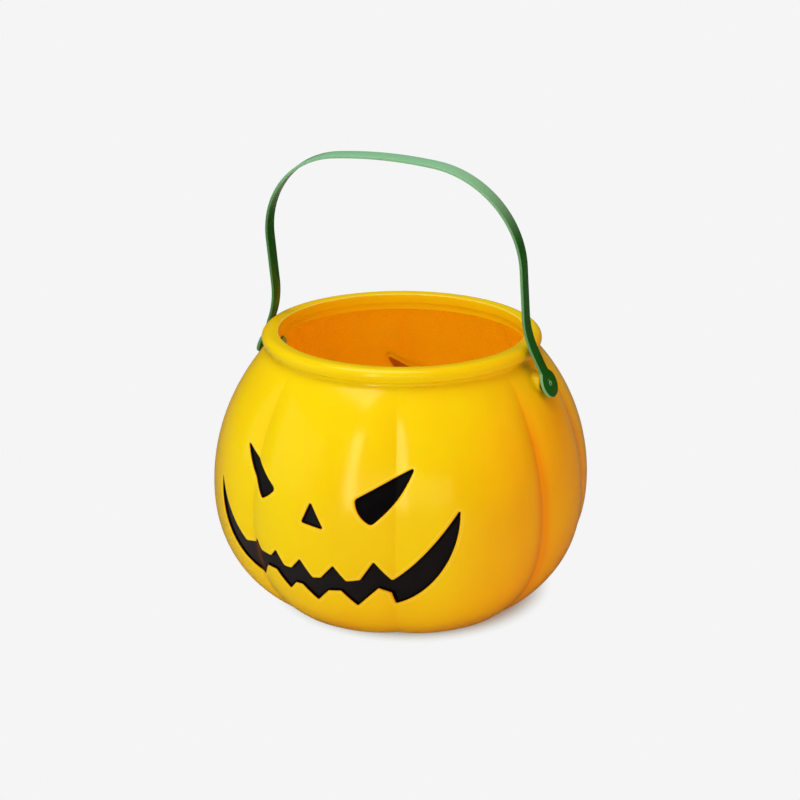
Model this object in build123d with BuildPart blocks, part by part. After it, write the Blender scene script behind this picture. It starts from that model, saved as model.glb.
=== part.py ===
"""Pumpkin candy pail: a lobed hollow shell with a sunk face on two sides and a swinging strap handle.

Millimetres, +Z up. The origin is the middle of the base, X runs through the handle's pivots, and the
front face looks towards -Y.
"""
import os
from math import asin, cos, degrees, radians, sin, sqrt

from build123d import *

# Pumpkin body
BELLY_RADIUS = 84.0         # crest of the lobes at the widest height
BELLY_HEIGHT = 50.0         # height of the widest part
BASE_RADIUS = 58.0          # crest of the lobes where the wall meets the base
NECK_RADIUS = 59.0          # round neck under the rim
NECK_HEIGHT = 112.5         # where the lobes have run out into the round neck
BASE_FULLNESS = 2.2         # exponent of the lower curve: 2 is an ellipse, more is fuller
WALL = 1.5                  # wall of the moulding
PUSH_UP_RADIUS = 44.0       # raised middle of the base
PUSH_UP_HEIGHT = 2.0

# Lobes
SIDE_LOBE_ANGLE = 32.0      # the two narrow lobes that carry the pivots, in degrees
GROOVE_DEPTH = 3.4          # depth of the grooves at the belly
SIDE_LOBE_DROP = 1.6        # how much lower the narrow lobes stand
GROOVE_BASE_SHARE = 0.7     # what is left of the groove's depth at the base
LOBE_ROUNDNESS = 3.0        # exponent of the lobe's curve: more is flatter in the middle
GROOVE_FADE = 4.0           # exponent of the groove's run-out: more keeps it deep closer to the neck

# Rim
RIM_RISE = 7.5              # top of the rim above the neck
RIM_BEAD_RADIUS = 3.1       # half-round outer edge of the rim
BEAD_OVERHANG = 2.2         # how far the bead stands out past the neck
LIP_INSET = 5.0             # how far the sharp inner lip stands in from the neck
THROAT_LEDGE = 0.5          # how far the throat reaches down past the top of the neck
THROAT_LIP_BAND = 4.6       # straight band below the lip, down to the small step
THROAT_STEP = 0.5
NECK_CREVICE = 0.2          # how far the neck is drawn in under the bead

# Sunk face
RECESS_DEPTH = 2.0          # from the body's skin to the floor of the recess
FILL_THICKNESS = 0.5        # black layer on that floor
FILL_CLEARANCE = 0.1        # between the layer's edge and the recess wall
FACE_TURNS = {"front": 0, "back": 180}  # turn of each face about the pail's axis, in degrees

# Face outlines, seen from the front: across, up. The eyes and teeth differ from side to side, as if cut by hand
RIGHT_EYE_CORNERS = ((38.7, 84.0), (18.0, 71.0), (25.0, 60.5))      # tip, inner corner, lower corner
LEFT_EYE_CORNERS = ((-39.2, 82.9), (-19.2, 68.9), (-27.3, 62.5))
RIGHT_EYE_BOWS = (0.0, 1.7, 2.1)    # bow of the edge after each corner, to the right of the way round
LEFT_EYE_BOWS = (0.0, -0.5, -1.2)
EYE_CORNER_RADII = (0.9, 1.6, 1.6)
NOSE_CORNERS = ((-0.8, 67.9), (-4.7, 58.5), (5.8, 57.0))
NOSE_CORNER_RADIUS = 0.8
MOUTH_LEFT_TIP = (-55.6, 65.0)
MOUTH_RIGHT_TIP = (56.4, 66.4)
MOUTH_LEFT_ROOTS = ((-38.0, 39.6), (-29.3, 26.0))   # where the left horn meets the teeth, upper and lower
MOUTH_RIGHT_ROOTS = ((31.8, 36.0), (31.9, 23.0))
MOUTH_LEFT_BOWS = (1.5, 8.0)        # bow of the left horn's upper and lower edges
MOUTH_RIGHT_BOWS = (2.3, 8.3)
MOUTH_UPPER_TEETH = (
    (-32.6, 40.6), (-30.6, 43.6), (-27.4, 39.6), (-22.2, 38.9), (-18.5, 42.5), (-13.8, 36.0), (-10.3, 36.6),
    (-5.8, 41.9), (-0.4, 34.0), (3.2, 34.4), (9.5, 41.8), (14.7, 35.0), (19.6, 35.8), (26.0, 45.0),
)
MOUTH_LOWER_TEETH = (
    (31.2, 29.3), (27.5, 31.4), (17.4, 22.0), (11.4, 29.4), (6.3, 28.8), (0.2, 22.4), (-7.6, 29.4),
    (-9.6, 29.2), (-13.4, 25.0), (-20.8, 32.0), (-22.8, 31.8),
)
MOUTH_CORNER_RADIUS = 0.35

# Handle
PIVOT_DROP = 7.9            # pivot axis below the top of the neck
DISC_STANDOFF = 4.65        # middle of each end disc from the wall, along the pivot axis
HANDLE_RISE = 95.0          # crown of the strap above the pivot axis
HANDLE_LEAN = 9.5           # forward lean of the handle as it stands, in degrees
STRAP_WIDTH = 6.2
STRAP_THICKNESS = 1.3
STRAP_EDGE_RADIUS = 0.4
CROWN_RADIUS = 200.0        # gentle curve over the top of the strap
SHOULDER_RADIUS = 42.0      # corner between crown and leg
FOOT_LENGTH = 15.2          # straight foot of the strap, from the disc's middle
FOOT_TILT = 23.0            # outward tilt of the strap's foot, in degrees
FOOT_BEND_RADIUS = 42.0     # bend between leg and foot
DISC_RADIUS = 6.0
DISC_THICKNESS = 1.5
DISC_EDGE_RADIUS = 0.45
STUD_RADIUS = 2.4
STUD_CLEARANCE = 0.08       # running clearance of the stud in its hole
STUD_HEAD_RADIUS = 3.4
STUD_HEAD_THICKNESS = 1.6
STUD_HEAD_GAP = 0.6         # between the head and the inner wall

# How the lobed forms are drawn and cut
SECTIONS = 11               # sections that each lobed form is lofted through
LOBE_POINTS = 9             # points along each lobe of a section
SECTION_CROWDING = 1.25     # exponent that crowds the sections towards the base
CUT_CLEAR = 1.0             # how far a cut runs past the face it opens

# Places that follow from the sizes above
RIM_HEIGHT = NECK_HEIGHT + RIM_RISE
THROAT_BOTTOM = NECK_HEIGHT - THROAT_LEDGE
LIP_RADIUS = NECK_RADIUS - LIP_INSET
BEAD_MIDDLE_RADIUS = NECK_RADIUS + BEAD_OVERHANG - RIM_BEAD_RADIUS
PIVOT_HEIGHT = NECK_HEIGHT - PIVOT_DROP

os.makedirs("parts", exist_ok=True)


def lobe_spans():
    """Return each lobe's start, sweep and crest drop; 0 degrees is the front and +90 is +X."""
    wide = (180.0 - SIDE_LOBE_ANGLE) / 3
    sweeps = [wide, wide, SIDE_LOBE_ANGLE, wide] * 2
    drops = [0.0, 0.0, SIDE_LOBE_DROP, 0.0] * 2
    spans = []
    start = -wide / 2
    for sweep_angle, crest_drop in zip(sweeps, drops):
        spans.append((start, sweep_angle, crest_drop))
        start += sweep_angle
    return spans


def crest_radius(height, inset):
    """Return the radius over the lobes at a height, for a skin inset from the outer one."""
    belly = BELLY_RADIUS - inset
    if height < BELLY_HEIGHT:
        reach = BELLY_HEIGHT / (1 - (BASE_RADIUS / BELLY_RADIUS) ** BASE_FULLNESS) ** (1 / BASE_FULLNESS)
        share = (BELLY_HEIGHT - height) / (reach - inset)
        return belly * (1 - share**BASE_FULLNESS) ** (1 / BASE_FULLNESS)
    reach = (NECK_HEIGHT - BELLY_HEIGHT) / sqrt(1 - (NECK_RADIUS / BELLY_RADIUS) ** 2)
    share = (height - BELLY_HEIGHT) / (reach - inset)
    return belly * sqrt(1 - share**2)


def groove_share(height):
    """Return the groove's depth at a height as a share of its depth at the belly."""
    if height < BELLY_HEIGHT:
        down = (BELLY_HEIGHT - height) / BELLY_HEIGHT
        return 1 - (1 - GROOVE_BASE_SHARE) * down**2
    up = min((height - BELLY_HEIGHT) / (NECK_HEIGHT - BELLY_HEIGHT), 1.0)
    return 1 - up**GROOVE_FADE


def side_wall_reach(height, inset):
    """Return how far the crest of a narrow side lobe stands from the pail's axis at a height."""
    return crest_radius(height, inset) - groove_share(height) * SIDE_LOBE_DROP


def lobe_points(height, inset, start, sweep_angle, crest_drop):
    """Return the points along one lobe of a section."""
    points = []
    for step in range(LOBE_POINTS):
        across = step / (LOBE_POINTS - 1)
        angle = radians(start + sweep_angle * across)
        fall = crest_drop + (GROOVE_DEPTH - crest_drop) * abs(2 * across - 1) ** LOBE_ROUNDNESS
        radius = crest_radius(height, inset) - groove_share(height) * fall
        points.append((radius * sin(angle), -radius * cos(angle)))
    return points


def lobed_form(inset, bottom, top):
    """Return a solid pumpkin form, inset from the outer skin, between two heights."""
    with BuildPart() as form:
        for number in range(SECTIONS):
            height = bottom + (top - bottom) * (number / (SECTIONS - 1)) ** SECTION_CROWDING
            with BuildSketch(Plane.XY.offset(height)):
                with BuildLine():
                    for span in lobe_spans():
                        Spline(*lobe_points(height, inset, *span))
                make_face()
        loft()
    return form.part


def bowed_edge(start, end, bow):
    """Draw an arc whose middle stands off its chord by the bow, to the right of the way from start to end."""
    if bow == 0:
        Line(start, end)
        return
    across, up = end[0] - start[0], end[1] - start[1]
    length = sqrt(across**2 + up**2)
    middle = ((start[0] + end[0]) / 2 + up / length * bow, (start[1] + end[1]) / 2 - across / length * bow)
    ThreePointArc(start, middle, end)


def eye_outline(corners, bows, grow):
    """Return an eye's outline through its tip and its two inner corners, grown by a margin."""
    with BuildSketch(Plane.XZ) as outline:
        with BuildLine():
            for start, end, bow in zip(corners, (*corners[1:], corners[0]), bows):
                bowed_edge(start, end, bow)
        make_face()
        for corner, radius in zip(corners, EYE_CORNER_RADII):
            fillet(outline.vertices().sort_by_distance((*corner, 0))[0], radius)
        if grow:
            offset(amount=grow, kind=Kind.ARC)
    return outline.sketch


def nose_outline(grow):
    """Return the nose's outline, grown by a margin."""
    with BuildSketch(Plane.XZ) as outline:
        with BuildLine():
            Polyline(*NOSE_CORNERS, close=True)
        make_face()
        fillet(outline.vertices(), NOSE_CORNER_RADIUS)
        if grow:
            offset(amount=grow, kind=Kind.ARC)
    return outline.sketch


def mouth_outline(grow):
    """Return the mouth's outline: two curved horns with cut teeth between them, grown by a margin."""
    with BuildSketch(Plane.XZ) as outline:
        with BuildLine():
            bowed_edge(MOUTH_LEFT_TIP, MOUTH_LEFT_ROOTS[0], MOUTH_LEFT_BOWS[0])
            Polyline(MOUTH_LEFT_ROOTS[0], *MOUTH_UPPER_TEETH, MOUTH_RIGHT_ROOTS[0])
            bowed_edge(MOUTH_RIGHT_ROOTS[0], MOUTH_RIGHT_TIP, MOUTH_RIGHT_BOWS[0])
            bowed_edge(MOUTH_RIGHT_ROOTS[1], MOUTH_RIGHT_TIP, MOUTH_RIGHT_BOWS[1])
            Polyline(MOUTH_RIGHT_ROOTS[1], *MOUTH_LOWER_TEETH, MOUTH_LEFT_ROOTS[1])
            bowed_edge(MOUTH_LEFT_TIP, MOUTH_LEFT_ROOTS[1], MOUTH_LEFT_BOWS[1])
        make_face()
        fillet(outline.vertices(), MOUTH_CORNER_RADIUS)
        if grow:
            offset(amount=grow, kind=Kind.ARC)
    return outline.sketch


def face_outlines(grow):
    """Return the four outlines of a face by name, as the viewer sees them, grown by a margin."""
    return {
        "left_eye": eye_outline(LEFT_EYE_CORNERS, LEFT_EYE_BOWS, grow),
        "right_eye": eye_outline(RIGHT_EYE_CORNERS, RIGHT_EYE_BOWS, grow),
        "nose": nose_outline(grow),
        "mouth": mouth_outline(grow),
    }


def face_piece(outline, skin, floor):
    """Return what lies between two skins behind an outline on the front of the pail."""
    with BuildPart() as piece:
        extrude(outline, amount=BELLY_RADIUS + 2 * CUT_CLEAR, dir=-Axis.Y.direction)
        add(skin, mode=Mode.INTERSECT)
        add(floor, mode=Mode.SUBTRACT)
    return piece.part


# The skins that the shell and its face are cut from
outer_form = lobed_form(0, 0, NECK_HEIGHT)
cavity_form = lobed_form(WALL, WALL, THROAT_BOTTOM)
proud_form = lobed_form(-CUT_CLEAR, 0, NECK_HEIGHT)
mid_wall_form = lobed_form(WALL / 2, 0, NECK_HEIGHT)
recess_form = lobed_form(RECESS_DEPTH, 0, NECK_HEIGHT)
fill_form = lobed_form(RECESS_DEPTH - FILL_THICKNESS, 0, NECK_HEIGHT)
backing_form = lobed_form(RECESS_DEPTH + WALL, 0, NECK_HEIGHT)

# The sunk face: its recesses, the wall that backs them and the black fills on their floors
recesses = [face_piece(outline, proud_form, recess_form) for outline in face_outlines(0).values()]
backings = [face_piece(outline, mid_wall_form, backing_form) for outline in face_outlines(WALL).values()]
fills = {
    name: face_piece(outline, fill_form, recess_form)
    for name, outline in face_outlines(-FILL_CLEARANCE).items()
}

# Pail shell
with BuildPart() as pail_shell:
    add(outer_form)
    with BuildSketch(Plane.XZ):
        with Locations((LIP_RADIUS, RIM_HEIGHT)):
            Rectangle(BEAD_MIDDLE_RADIUS - LIP_RADIUS, 2 * RIM_BEAD_RADIUS, align=(Align.MIN, Align.MAX))
        with Locations((BEAD_MIDDLE_RADIUS, RIM_HEIGHT - RIM_BEAD_RADIUS)):
            Circle(RIM_BEAD_RADIUS)
        with Locations((LIP_RADIUS, THROAT_BOTTOM)):
            neck_height = RIM_HEIGHT - RIM_BEAD_RADIUS - THROAT_BOTTOM
            Rectangle(LIP_INSET - NECK_CREVICE, neck_height, align=(Align.MIN, Align.MIN))
    revolve(axis=Axis.Z)
    add(cavity_form, mode=Mode.SUBTRACT)
    with BuildSketch(Plane.XY.offset(THROAT_BOTTOM - CUT_CLEAR)):
        Circle(LIP_RADIUS)
    extrude(amount=RIM_HEIGHT - THROAT_BOTTOM + 2 * CUT_CLEAR, mode=Mode.SUBTRACT)
    with BuildSketch(Plane.XY.offset(RIM_HEIGHT - THROAT_LIP_BAND)):
        Circle(LIP_RADIUS + THROAT_STEP)
    extrude(amount=-(RIM_HEIGHT - THROAT_LIP_BAND - THROAT_BOTTOM + CUT_CLEAR), mode=Mode.SUBTRACT)
    for turn in FACE_TURNS.values():
        add(backings, rotation=(0, 0, turn))
        add(recesses, rotation=(0, 0, turn), mode=Mode.SUBTRACT)
    with BuildSketch():
        Circle(PUSH_UP_RADIUS + WALL)
    extrude(amount=PUSH_UP_HEIGHT + WALL)
    with BuildSketch():
        Circle(PUSH_UP_RADIUS)
    extrude(amount=PUSH_UP_HEIGHT, mode=Mode.SUBTRACT)
    with BuildSketch(Plane.YZ):
        with Locations((0, PIVOT_HEIGHT)):
            Circle(STUD_RADIUS + STUD_CLEARANCE)
    extrude(amount=BELLY_RADIUS, both=True, mode=Mode.SUBTRACT)
pail_shell.part.label = "pail_shell"
export_step(pail_shell.part, "parts/pail_shell.step")

# Black fills, front and back
for name, fill in fills.items():
    for side, turn in FACE_TURNS.items():
        with BuildPart() as face_fill:
            add(fill, rotation=(0, 0, turn))
        face_fill.part.label = f"{side}_{name}"
        export_step(face_fill.part, f"parts/{side}_{name}.step")

# Handle: planes and lengths that follow from the shell
lean = radians(HANDLE_LEAN)
tilt = radians(FOOT_TILT)
handle_plane = Plane(origin=(0, 0, PIVOT_HEIGHT), x_dir=(1, 0, 0), z_dir=(0, -cos(lean), -sin(lean)))
pivot_reach = side_wall_reach(PIVOT_HEIGHT, 0) + DISC_STANDOFF
half_span = pivot_reach - FOOT_LENGTH * sin(tilt) - FOOT_BEND_RADIUS * (1 - cos(tilt))
crown_half_angle = asin((half_span - SHOULDER_RADIUS) / (CROWN_RADIUS - SHOULDER_RADIUS))
crown_rise = SHOULDER_RADIUS * cos(crown_half_angle) + CROWN_RADIUS * (1 - cos(crown_half_angle))
leg_length = HANDLE_RISE - crown_rise - FOOT_LENGTH * cos(tilt) - FOOT_BEND_RADIUS * sin(tilt)
head_face = side_wall_reach(PIVOT_HEIGHT + STUD_HEAD_RADIUS, WALL) - STUD_HEAD_GAP
disc_normal = handle_plane.from_local_coords(Vector(cos(tilt), sin(tilt))) - handle_plane.origin
disc_plane = Plane(
    origin=handle_plane.from_local_coords(Vector(pivot_reach, 0)),
    x_dir=handle_plane.z_dir,
    z_dir=disc_normal,
)

# One end of the handle: the stud with its snap head, cut flush with the disc's outer face
with BuildPart() as stud:
    with BuildSketch(Plane.YZ.offset(head_face - STUD_HEAD_THICKNESS)):
        with Locations((0, PIVOT_HEIGHT)):
            Circle(STUD_HEAD_RADIUS)
    extrude(amount=STUD_HEAD_THICKNESS)
    chamfer(stud.edges().group_by(Axis.X)[0], STUD_HEAD_RADIUS - STUD_RADIUS)
    with BuildSketch(Plane.YZ.offset(head_face - STUD_HEAD_THICKNESS)):
        with Locations((0, PIVOT_HEIGHT)):
            Circle(STUD_RADIUS)
    extrude(amount=pivot_reach + DISC_RADIUS - head_face)
    split(bisect_by=disc_plane.offset(DISC_THICKNESS / 2), keep=Keep.BOTTOM)

with BuildPart() as disc:
    with BuildSketch(disc_plane):
        Circle(DISC_RADIUS)
    extrude(amount=DISC_THICKNESS / 2, both=True)
    fillet(disc.edges(), DISC_EDGE_RADIUS)
    add(stud.part)

# Handle strap
with BuildPart() as handle_strap:
    with BuildLine(handle_plane):
        foot = Line((pivot_reach, 0), (pivot_reach - FOOT_LENGTH * sin(tilt), FOOT_LENGTH * cos(tilt)))
        ankle = JernArc(foot @ 1, foot % 1, FOOT_BEND_RADIUS, -FOOT_TILT)
        leg = Line(ankle @ 1, ankle @ 1 + (ankle % 1) * leg_length)
        shoulder = JernArc(leg @ 1, leg % 1, SHOULDER_RADIUS, 90 - degrees(crown_half_angle))
        JernArc(shoulder @ 1, shoulder % 1, CROWN_RADIUS, degrees(crown_half_angle))
        mirror(about=Plane.YZ)
    with BuildSketch(Plane(origin=foot @ 0, x_dir=handle_plane.z_dir, z_dir=foot % 0)):
        RectangleRounded(STRAP_WIDTH, STRAP_THICKNESS, STRAP_EDGE_RADIUS)
    sweep()
    add(disc.part)
    mirror(disc.part, about=Plane.YZ)
handle_strap.part.label = "handle_strap"
export_step(handle_strap.part, "parts/handle_strap.step")
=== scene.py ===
"""Pumpkin candy pail: the looks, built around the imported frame.

Metres, +Z up. The origin is the middle of the base, X runs through the handle's pivots, and the front
face looks towards -Y. Angles round the body are counted from the front towards +X.
"""
from math import acos, asin, atan2, ceil, cos, degrees, hypot, pi, radians, sin, sqrt

import bmesh
import bpy
import numpy as np
from bpy.props import FloatProperty, FloatVectorProperty, PointerProperty
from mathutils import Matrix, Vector
from mathutils.geometry import delaunay_2d_cdt


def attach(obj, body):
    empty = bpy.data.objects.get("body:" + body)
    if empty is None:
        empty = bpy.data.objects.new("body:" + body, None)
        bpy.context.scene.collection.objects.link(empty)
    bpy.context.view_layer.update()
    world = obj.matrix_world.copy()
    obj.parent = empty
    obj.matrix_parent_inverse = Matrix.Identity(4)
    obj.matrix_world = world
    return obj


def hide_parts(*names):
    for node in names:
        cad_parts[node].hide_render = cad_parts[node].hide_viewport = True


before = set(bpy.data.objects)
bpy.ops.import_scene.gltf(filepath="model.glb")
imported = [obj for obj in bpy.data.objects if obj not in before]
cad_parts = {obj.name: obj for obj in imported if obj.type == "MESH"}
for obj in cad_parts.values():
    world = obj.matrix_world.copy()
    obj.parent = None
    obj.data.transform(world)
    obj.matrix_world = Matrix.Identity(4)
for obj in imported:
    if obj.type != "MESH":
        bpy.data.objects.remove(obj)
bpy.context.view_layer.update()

bl_info = {
    "name": "Pumpkin candy pail",
    "version": (1, 0, 0),
    "blender": (4, 5, 0),
    "location": "View3D > Sidebar > Pail",
    "description": "Builds a pumpkin candy pail with a sunk face and a swinging strap handle",
    "category": "Add Mesh",
}

MM = 0.001

# Lobes of the body: the two narrow ones carry the pivots
SIDE_LOBE_ANGLE = 32.0          # in degrees
WIDE_LOBE_ANGLE = (180.0 - SIDE_LOBE_ANGLE) / 3
HALF_START = -WIDE_LOBE_ANGLE / 2 - WIDE_LOBE_ANGLE - SIDE_LOBE_ANGLE   # groove where one half starts
SIDE_LOBE_DROP = 1.6 * MM       # how much lower the narrow lobes stand
GROOVE_BASE_SHARE = 0.7         # what is left of a groove's depth at the base
GROOVE_FADE = 4.0               # higher keeps the grooves deep until closer to the neck
GROOVE_SOFTNESS = 0.5 * MM      # rounding at the bottom of a groove
LOBE_ROUNDNESS = 3.0            # higher makes the grooves narrower
BASE_FULLNESS = 2.2             # higher makes the lower half of the body fuller
FACE_SPAN = radians(70)         # the face lies within this angle of the front, the pivot hole beyond it
SETTLE_ROUNDS = 30              # rounds after which an angle found on the lobed skin has settled
PIVOT_SETTLE_ROUNDS = 10

# Rim and throat
RIM_RISE = 7.5 * MM             # top of the rim above the neck
RIM_DOME = 0.3 * MM             # how far the lip lies below the top of the rim
RIM_DOME_SHARES = (0.75, 0.5, 0.25, 0.13)   # rows of the rim's top, as shares of the way from lip to bead
BEAD_RADIUS = 3.1 * MM
BEAD_OVERHANG = 2.2 * MM        # bead beyond the neck
BEAD_POINTS = 20
NECK_CREVICE = 0.2 * MM         # crease between the neck and the bead
LIP_INSET = 5.0 * MM            # inner edge of the rim from the neck
LIP_ROUNDING = 0.35 * MM
LIP_POINTS = 5
LIP_HIGHLIGHT_ROWS = 3               # rows of the lip that carry a painted highlight line
THROAT_FADE_ROWS = 6            # rows from the lip over which the inside's finish comes in
THROAT_INSIDE = 0.2             # how much of it the throat gets
THROAT_LEDGE = 0.5 * MM         # underside of the throat below the neck
THROAT_BAND = 4.6 * MM          # height of the band below the rim's top
THROAT_STEP = 0.5 * MM          # how far the throat steps back under that band
THROAT_ROUNDING = 0.8 * MM

# Base
PUSH_UP_RADIUS = 44.0 * MM      # raised middle of the base
PUSH_UP_HEIGHT = 2.0 * MM
PUSH_UP_SHARES = (0.8, 0.5, 0.25, 0.12)     # rings on the raised middle
BASE_FOOT = 1.2 * MM            # inner edge of the flat that the pail stands on, beyond the raised middle
BASE_ROUNDING = 2.2 * MM        # how far the rounded base edge reaches along the wall and the base
FLOOR_ROUNDING = 4.0 * MM       # the same for the floor inside
# Steps up to the raised middle, in millimetres: beyond its radius, height
BASE_STEP = ((0.7, 0.12), (0.25, 0.6), (0.0, 1.2), (-0.3, 1.75), (-1.0, 2.0))
FLOOR_STEP = ((3.0, 0.0), (2.0, 0.25), (1.4, 0.8), (0.9, 1.5), (0.0, 1.9), (-1.0, 2.0))

# Mesh steps
GRID_STEP = 2.3 * MM
OUTLINE_STEP = 0.6 * MM
FILL_STEP = 1.3                 # grid of a black fill, in millimetres
PATH_STEP = 1.3 * MM            # along the strap
FOOT_STEP = 0.8 * MM            # along the strap's foot
GROOVE_COLUMNS = (0.5, 1.1, 1.9, 3.0)   # columns beside a groove, in millimetres
PIVOT_POINTS = 24               # points round a pivot hole
KEEP_OFF = 0.55                 # least distance between grid points and outline rows, in millimetres
WALL_SPREAD = 0.25              # millimetres that rows on a recess wall spread inwards for meshing
CLEAR_SHARE = 0.96              # share of its distance at which a moved outline point counts as clear
UNROLL_RADIUS = 80.0 * MM       # radius at which angles are laid flat for meshing
MESH_SCALE = 1000.0             # the triangulation of a skin works in millimetres
MERIDIAN_SAMPLES = 600
LEVEL_SAMPLES = 2000
CHUNK = 2000                    # points measured at a time
BODY_JOIN = 2.3e-5              # points of the body that are closer than this are joined
FILL_JOIN = 1e-7

# Face outlines in millimetres, seen from the front: across, up. An eye: tip, inner corner, lower corner
RIGHT_EYE_CORNERS = ((38.7, 84.0), (18.0, 71.0), (25.0, 60.5))
RIGHT_EYE_BOWS = (0.0, 1.7, 2.1)        # bow of the edge after each corner, to the right of the way round
LEFT_EYE_CORNERS = ((-39.2, 83.0), (-19.2, 69.0), (-27.2, 62.5))
LEFT_EYE_BOWS = (0.45, -0.55, -1.25)
EYE_CORNER_RADII = (0.9, 1.6, 1.6)
NOSE_CORNERS = ((-0.8, 67.9), (-4.7, 58.5), (5.8, 57.0))
NOSE_CORNER_RADIUS = 0.8
MOUTH_LEFT_TIP = (-55.2, 63.6)
MOUTH_RIGHT_TIP = (56.4, 66.7)
MOUTH_LEFT_ROOTS = ((-38.3, 39.2), (-29.9, 24.8))
MOUTH_RIGHT_ROOTS = ((32.0, 35.4), (31.4, 23.2))
MOUTH_LEFT_BOWS = (1.65, 7.4)           # bow of the left horn's upper and lower edges
MOUTH_RIGHT_BOWS = (2.3, 8.3)
MOUTH_UPPER_TEETH = (
    (-32.6, 40.3), (-31.4, 43.0), (-28.3, 38.6), (-21.8, 38.6), (-18.5, 42.5), (-14.2, 36.2), (-10.5, 36.3),
    (-5.8, 41.8), (-0.4, 34.0), (3.5, 34.7), (9.6, 41.6), (14.6, 34.7), (20.4, 35.9), (26.0, 44.7),
)
MOUTH_LOWER_TEETH = (
    (31.0, 29.3), (26.9, 32.0), (17.2, 22.0), (11.7, 29.6), (6.2, 28.8), (-0.1, 22.2), (-6.1, 29.2),
    (-9.3, 29.2), (-13.4, 24.7), (-19.6, 32.6), (-25.1, 32.4),
)
MOUTH_CORNER_RADIUS = 0.45

# Edge of a recess, in millimetres: a faint ridge with a painted highlight line, a rounding of this reach and drop,
# then the wall in painted shade. A ridge row: distance outside the outline, depth below the skin, painted highlight
RIDGE_ROWS = ((1.6, 0.0, 0.0), (1.1, -0.02, 1.0))
EDGE_ROUNDING = 0.85
EDGE_DROP = 0.4
EDGE_ROWS = 6
WALL_INSET = 0.02               # foot of the wall, inside the outline
# The bulge behind a recess: distance outside the outline, share of the depth, how far the black shows through
BACK_ROWS = (
    (2.0, 0.0, 0.0), (1.7, 0.16, 0.0), (1.4, 0.5, 0.0), (1.1, 0.84, 0.0), (0.9, 1.0, 0.0), (0.4, 1.0, 0.1),
    (-0.1, 1.0, 0.7), (-0.5, 1.0, 1.0),
)

# Black fills. A row: distance inside the outline in millimetres, how far it climbs the wall
FILL_ROWS = ((0.06, 1.0), (0.14, 0.7), (0.28, 0.3), (0.5, 0.08), (0.9, 0.0))
CROSSING_CLIMB = 0.5            # climb where rows cross
FLAT_CLIMB = 0.05               # what climbs less than this is flat
# Painted grey sheen on the flat of each fill: places across, and the share there
FILL_SHEEN = {
    "left_eye": ((0.0,), (0.3,)), "right_eye": ((0.0,), (0.0,)), "nose": ((0.0,), (0.35,)),
    "mouth": ((-0.045, -0.02, 0.0, 0.03), (1.0, 0.6, 0.42, 0.22)),
}
MOUTH_CREASE_HIGHLIGHT = (1.0, 0.12)        # strength of the painted highlight where the mouth crosses a groove, left and right of the middle

# Reach of the tint beside a groove: painted shade along a groove outside and along its ridge inside, and a painted
# highlight where a groove crosses a black fill
SKIN_TINT = 7.0 * MM
INSIDE_TINT = 14.0 * MM
INSIDE_TINT_SHARE = 0.3
FILL_TINT = 2.2 * MM

# Handle
PIVOT_DROP = 7.9 * MM           # pivots below the neck
DISC_STANDOFF = 4.65 * MM       # middle of a disc from the side of the pail
DISC_RADIUS = 6.0 * MM
DISC_THICKNESS = 1.5 * MM
DISC_TURNS = (9, 16, 24, 33, 43, 54, 66, 78)    # places on the disc's round end, in degrees
DISC_BLEND = 0.9 * MM           # softness where the strap leaves the disc
DISC_EASE = 3.0 * MM            # length over which that softness and the disc's thickness come in
DISC_SWELL_END = 8.5 * MM       # where the disc's extra thickness has run out
FOOT_LENGTH = 15.2 * MM
FOOT_TILT = radians(23.0)
FOOT_BEND_RADIUS = 42.0 * MM
SHOULDER_RADIUS = 42.0 * MM
CROWN_RADIUS = 200.0 * MM
STRAP_EDGE_RADIUS = 0.4 * MM
STRAP_PALENESS = 0.7            # painted highlight on the strap's edges, against the disc's
LEFT_PALENESS = 0.5             # painted highlight on the left leg, against the right one
SHARP_ANGLE = radians(40)
STUD_RADIUS = 2.4 * MM
STUD_CLEARANCE = 0.08 * MM
STUD_HEAD_RADIUS = 2.9 * MM
STUD_HEAD_THICKNESS = 1.0 * MM
STUD_HEAD_GAP = 0.4 * MM        # between the head and the inner wall
# Edge of the head, in millimetres: inside its radius, behind its face
STUD_HEAD_EDGE = ((0.1, 0.6), (0.0, 0.45), (0.0, 0.1), (0.1, 0.0))
# Small moulding marks in millimetres: radius, height
PIP_PROFILE = ((1.25, -0.6), (1.25, 0.02), (1.15, 0.1), (0.9, 0.17), (0.5, 0.2), (0.2, 0.21))
PIP_POINTS = 24
GATE_PROFILE = ((0.8, -0.5), (0.8, 0.05), (0.65, 0.14), (0.3, 0.17))
GATE_POINTS = 20
GATE_SHIFT = 1.5                # millimetres from the middle of the strap, towards the back
BOSS_RISE = 1.9 * MM            # face of the low boss around each pivot hole, above the side of the pail
# Rows of the boss: millimetres out from the hole, share of the way from the skin up to that face
BOSS_ROWS = (
    (2.9, 0.0), (2.3, 0.04), (1.95, 0.16), (1.75, 0.45), (1.6, 0.78), (1.4, 0.96), (1.1, 1.0), (0.0, 1.0),
)

# Places at which painted shade and a painted sheen come into the plastics, in metres
SIDE_SHADE_FADE = (0.045, 0.085)      # painted shade across the body, coming in towards its sides
LOW_SHADE_FADE = (0.0, 0.05)          # painted shade near the base, fading out up the body
CROWN_SHEEN_FADE = (0.164, 0.196)     # painted sheen up the strap, towards its crown

# Stage
GLOSS_LEVEL = 0.03              # how bright the backdrop is where the gloss mirrors it
FLOOR_RADIUS = 30
FLOOR_POINTS = 64
FLOOR_DROP = 0.0002             # keeps the floor just under the base
FLOOR_BOUNCE = (0.95, 0.95, 0.96, 1.0)      # floor as it lights the pail
FLOOR_SEEN = (0.57, 0.95, 1.0, 1.0)         # floor as the camera sees its shadow
FLOOR_GLOSS_SHARE = 0.9         # share of backdrop in the floor where the gloss mirrors it
SHADOW_MIDDLE = (0.0045, 0.0005, 0.0)       # the contact shadow: middle, reach, share of backdrop in it
SHADOW_REACH = (0.0505, 0.065)
SHADOW_SHARE = 0.1
WHITE, WARM = (1.0, 1.0, 1.0), (1.0, 0.3, 0.05)
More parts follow.
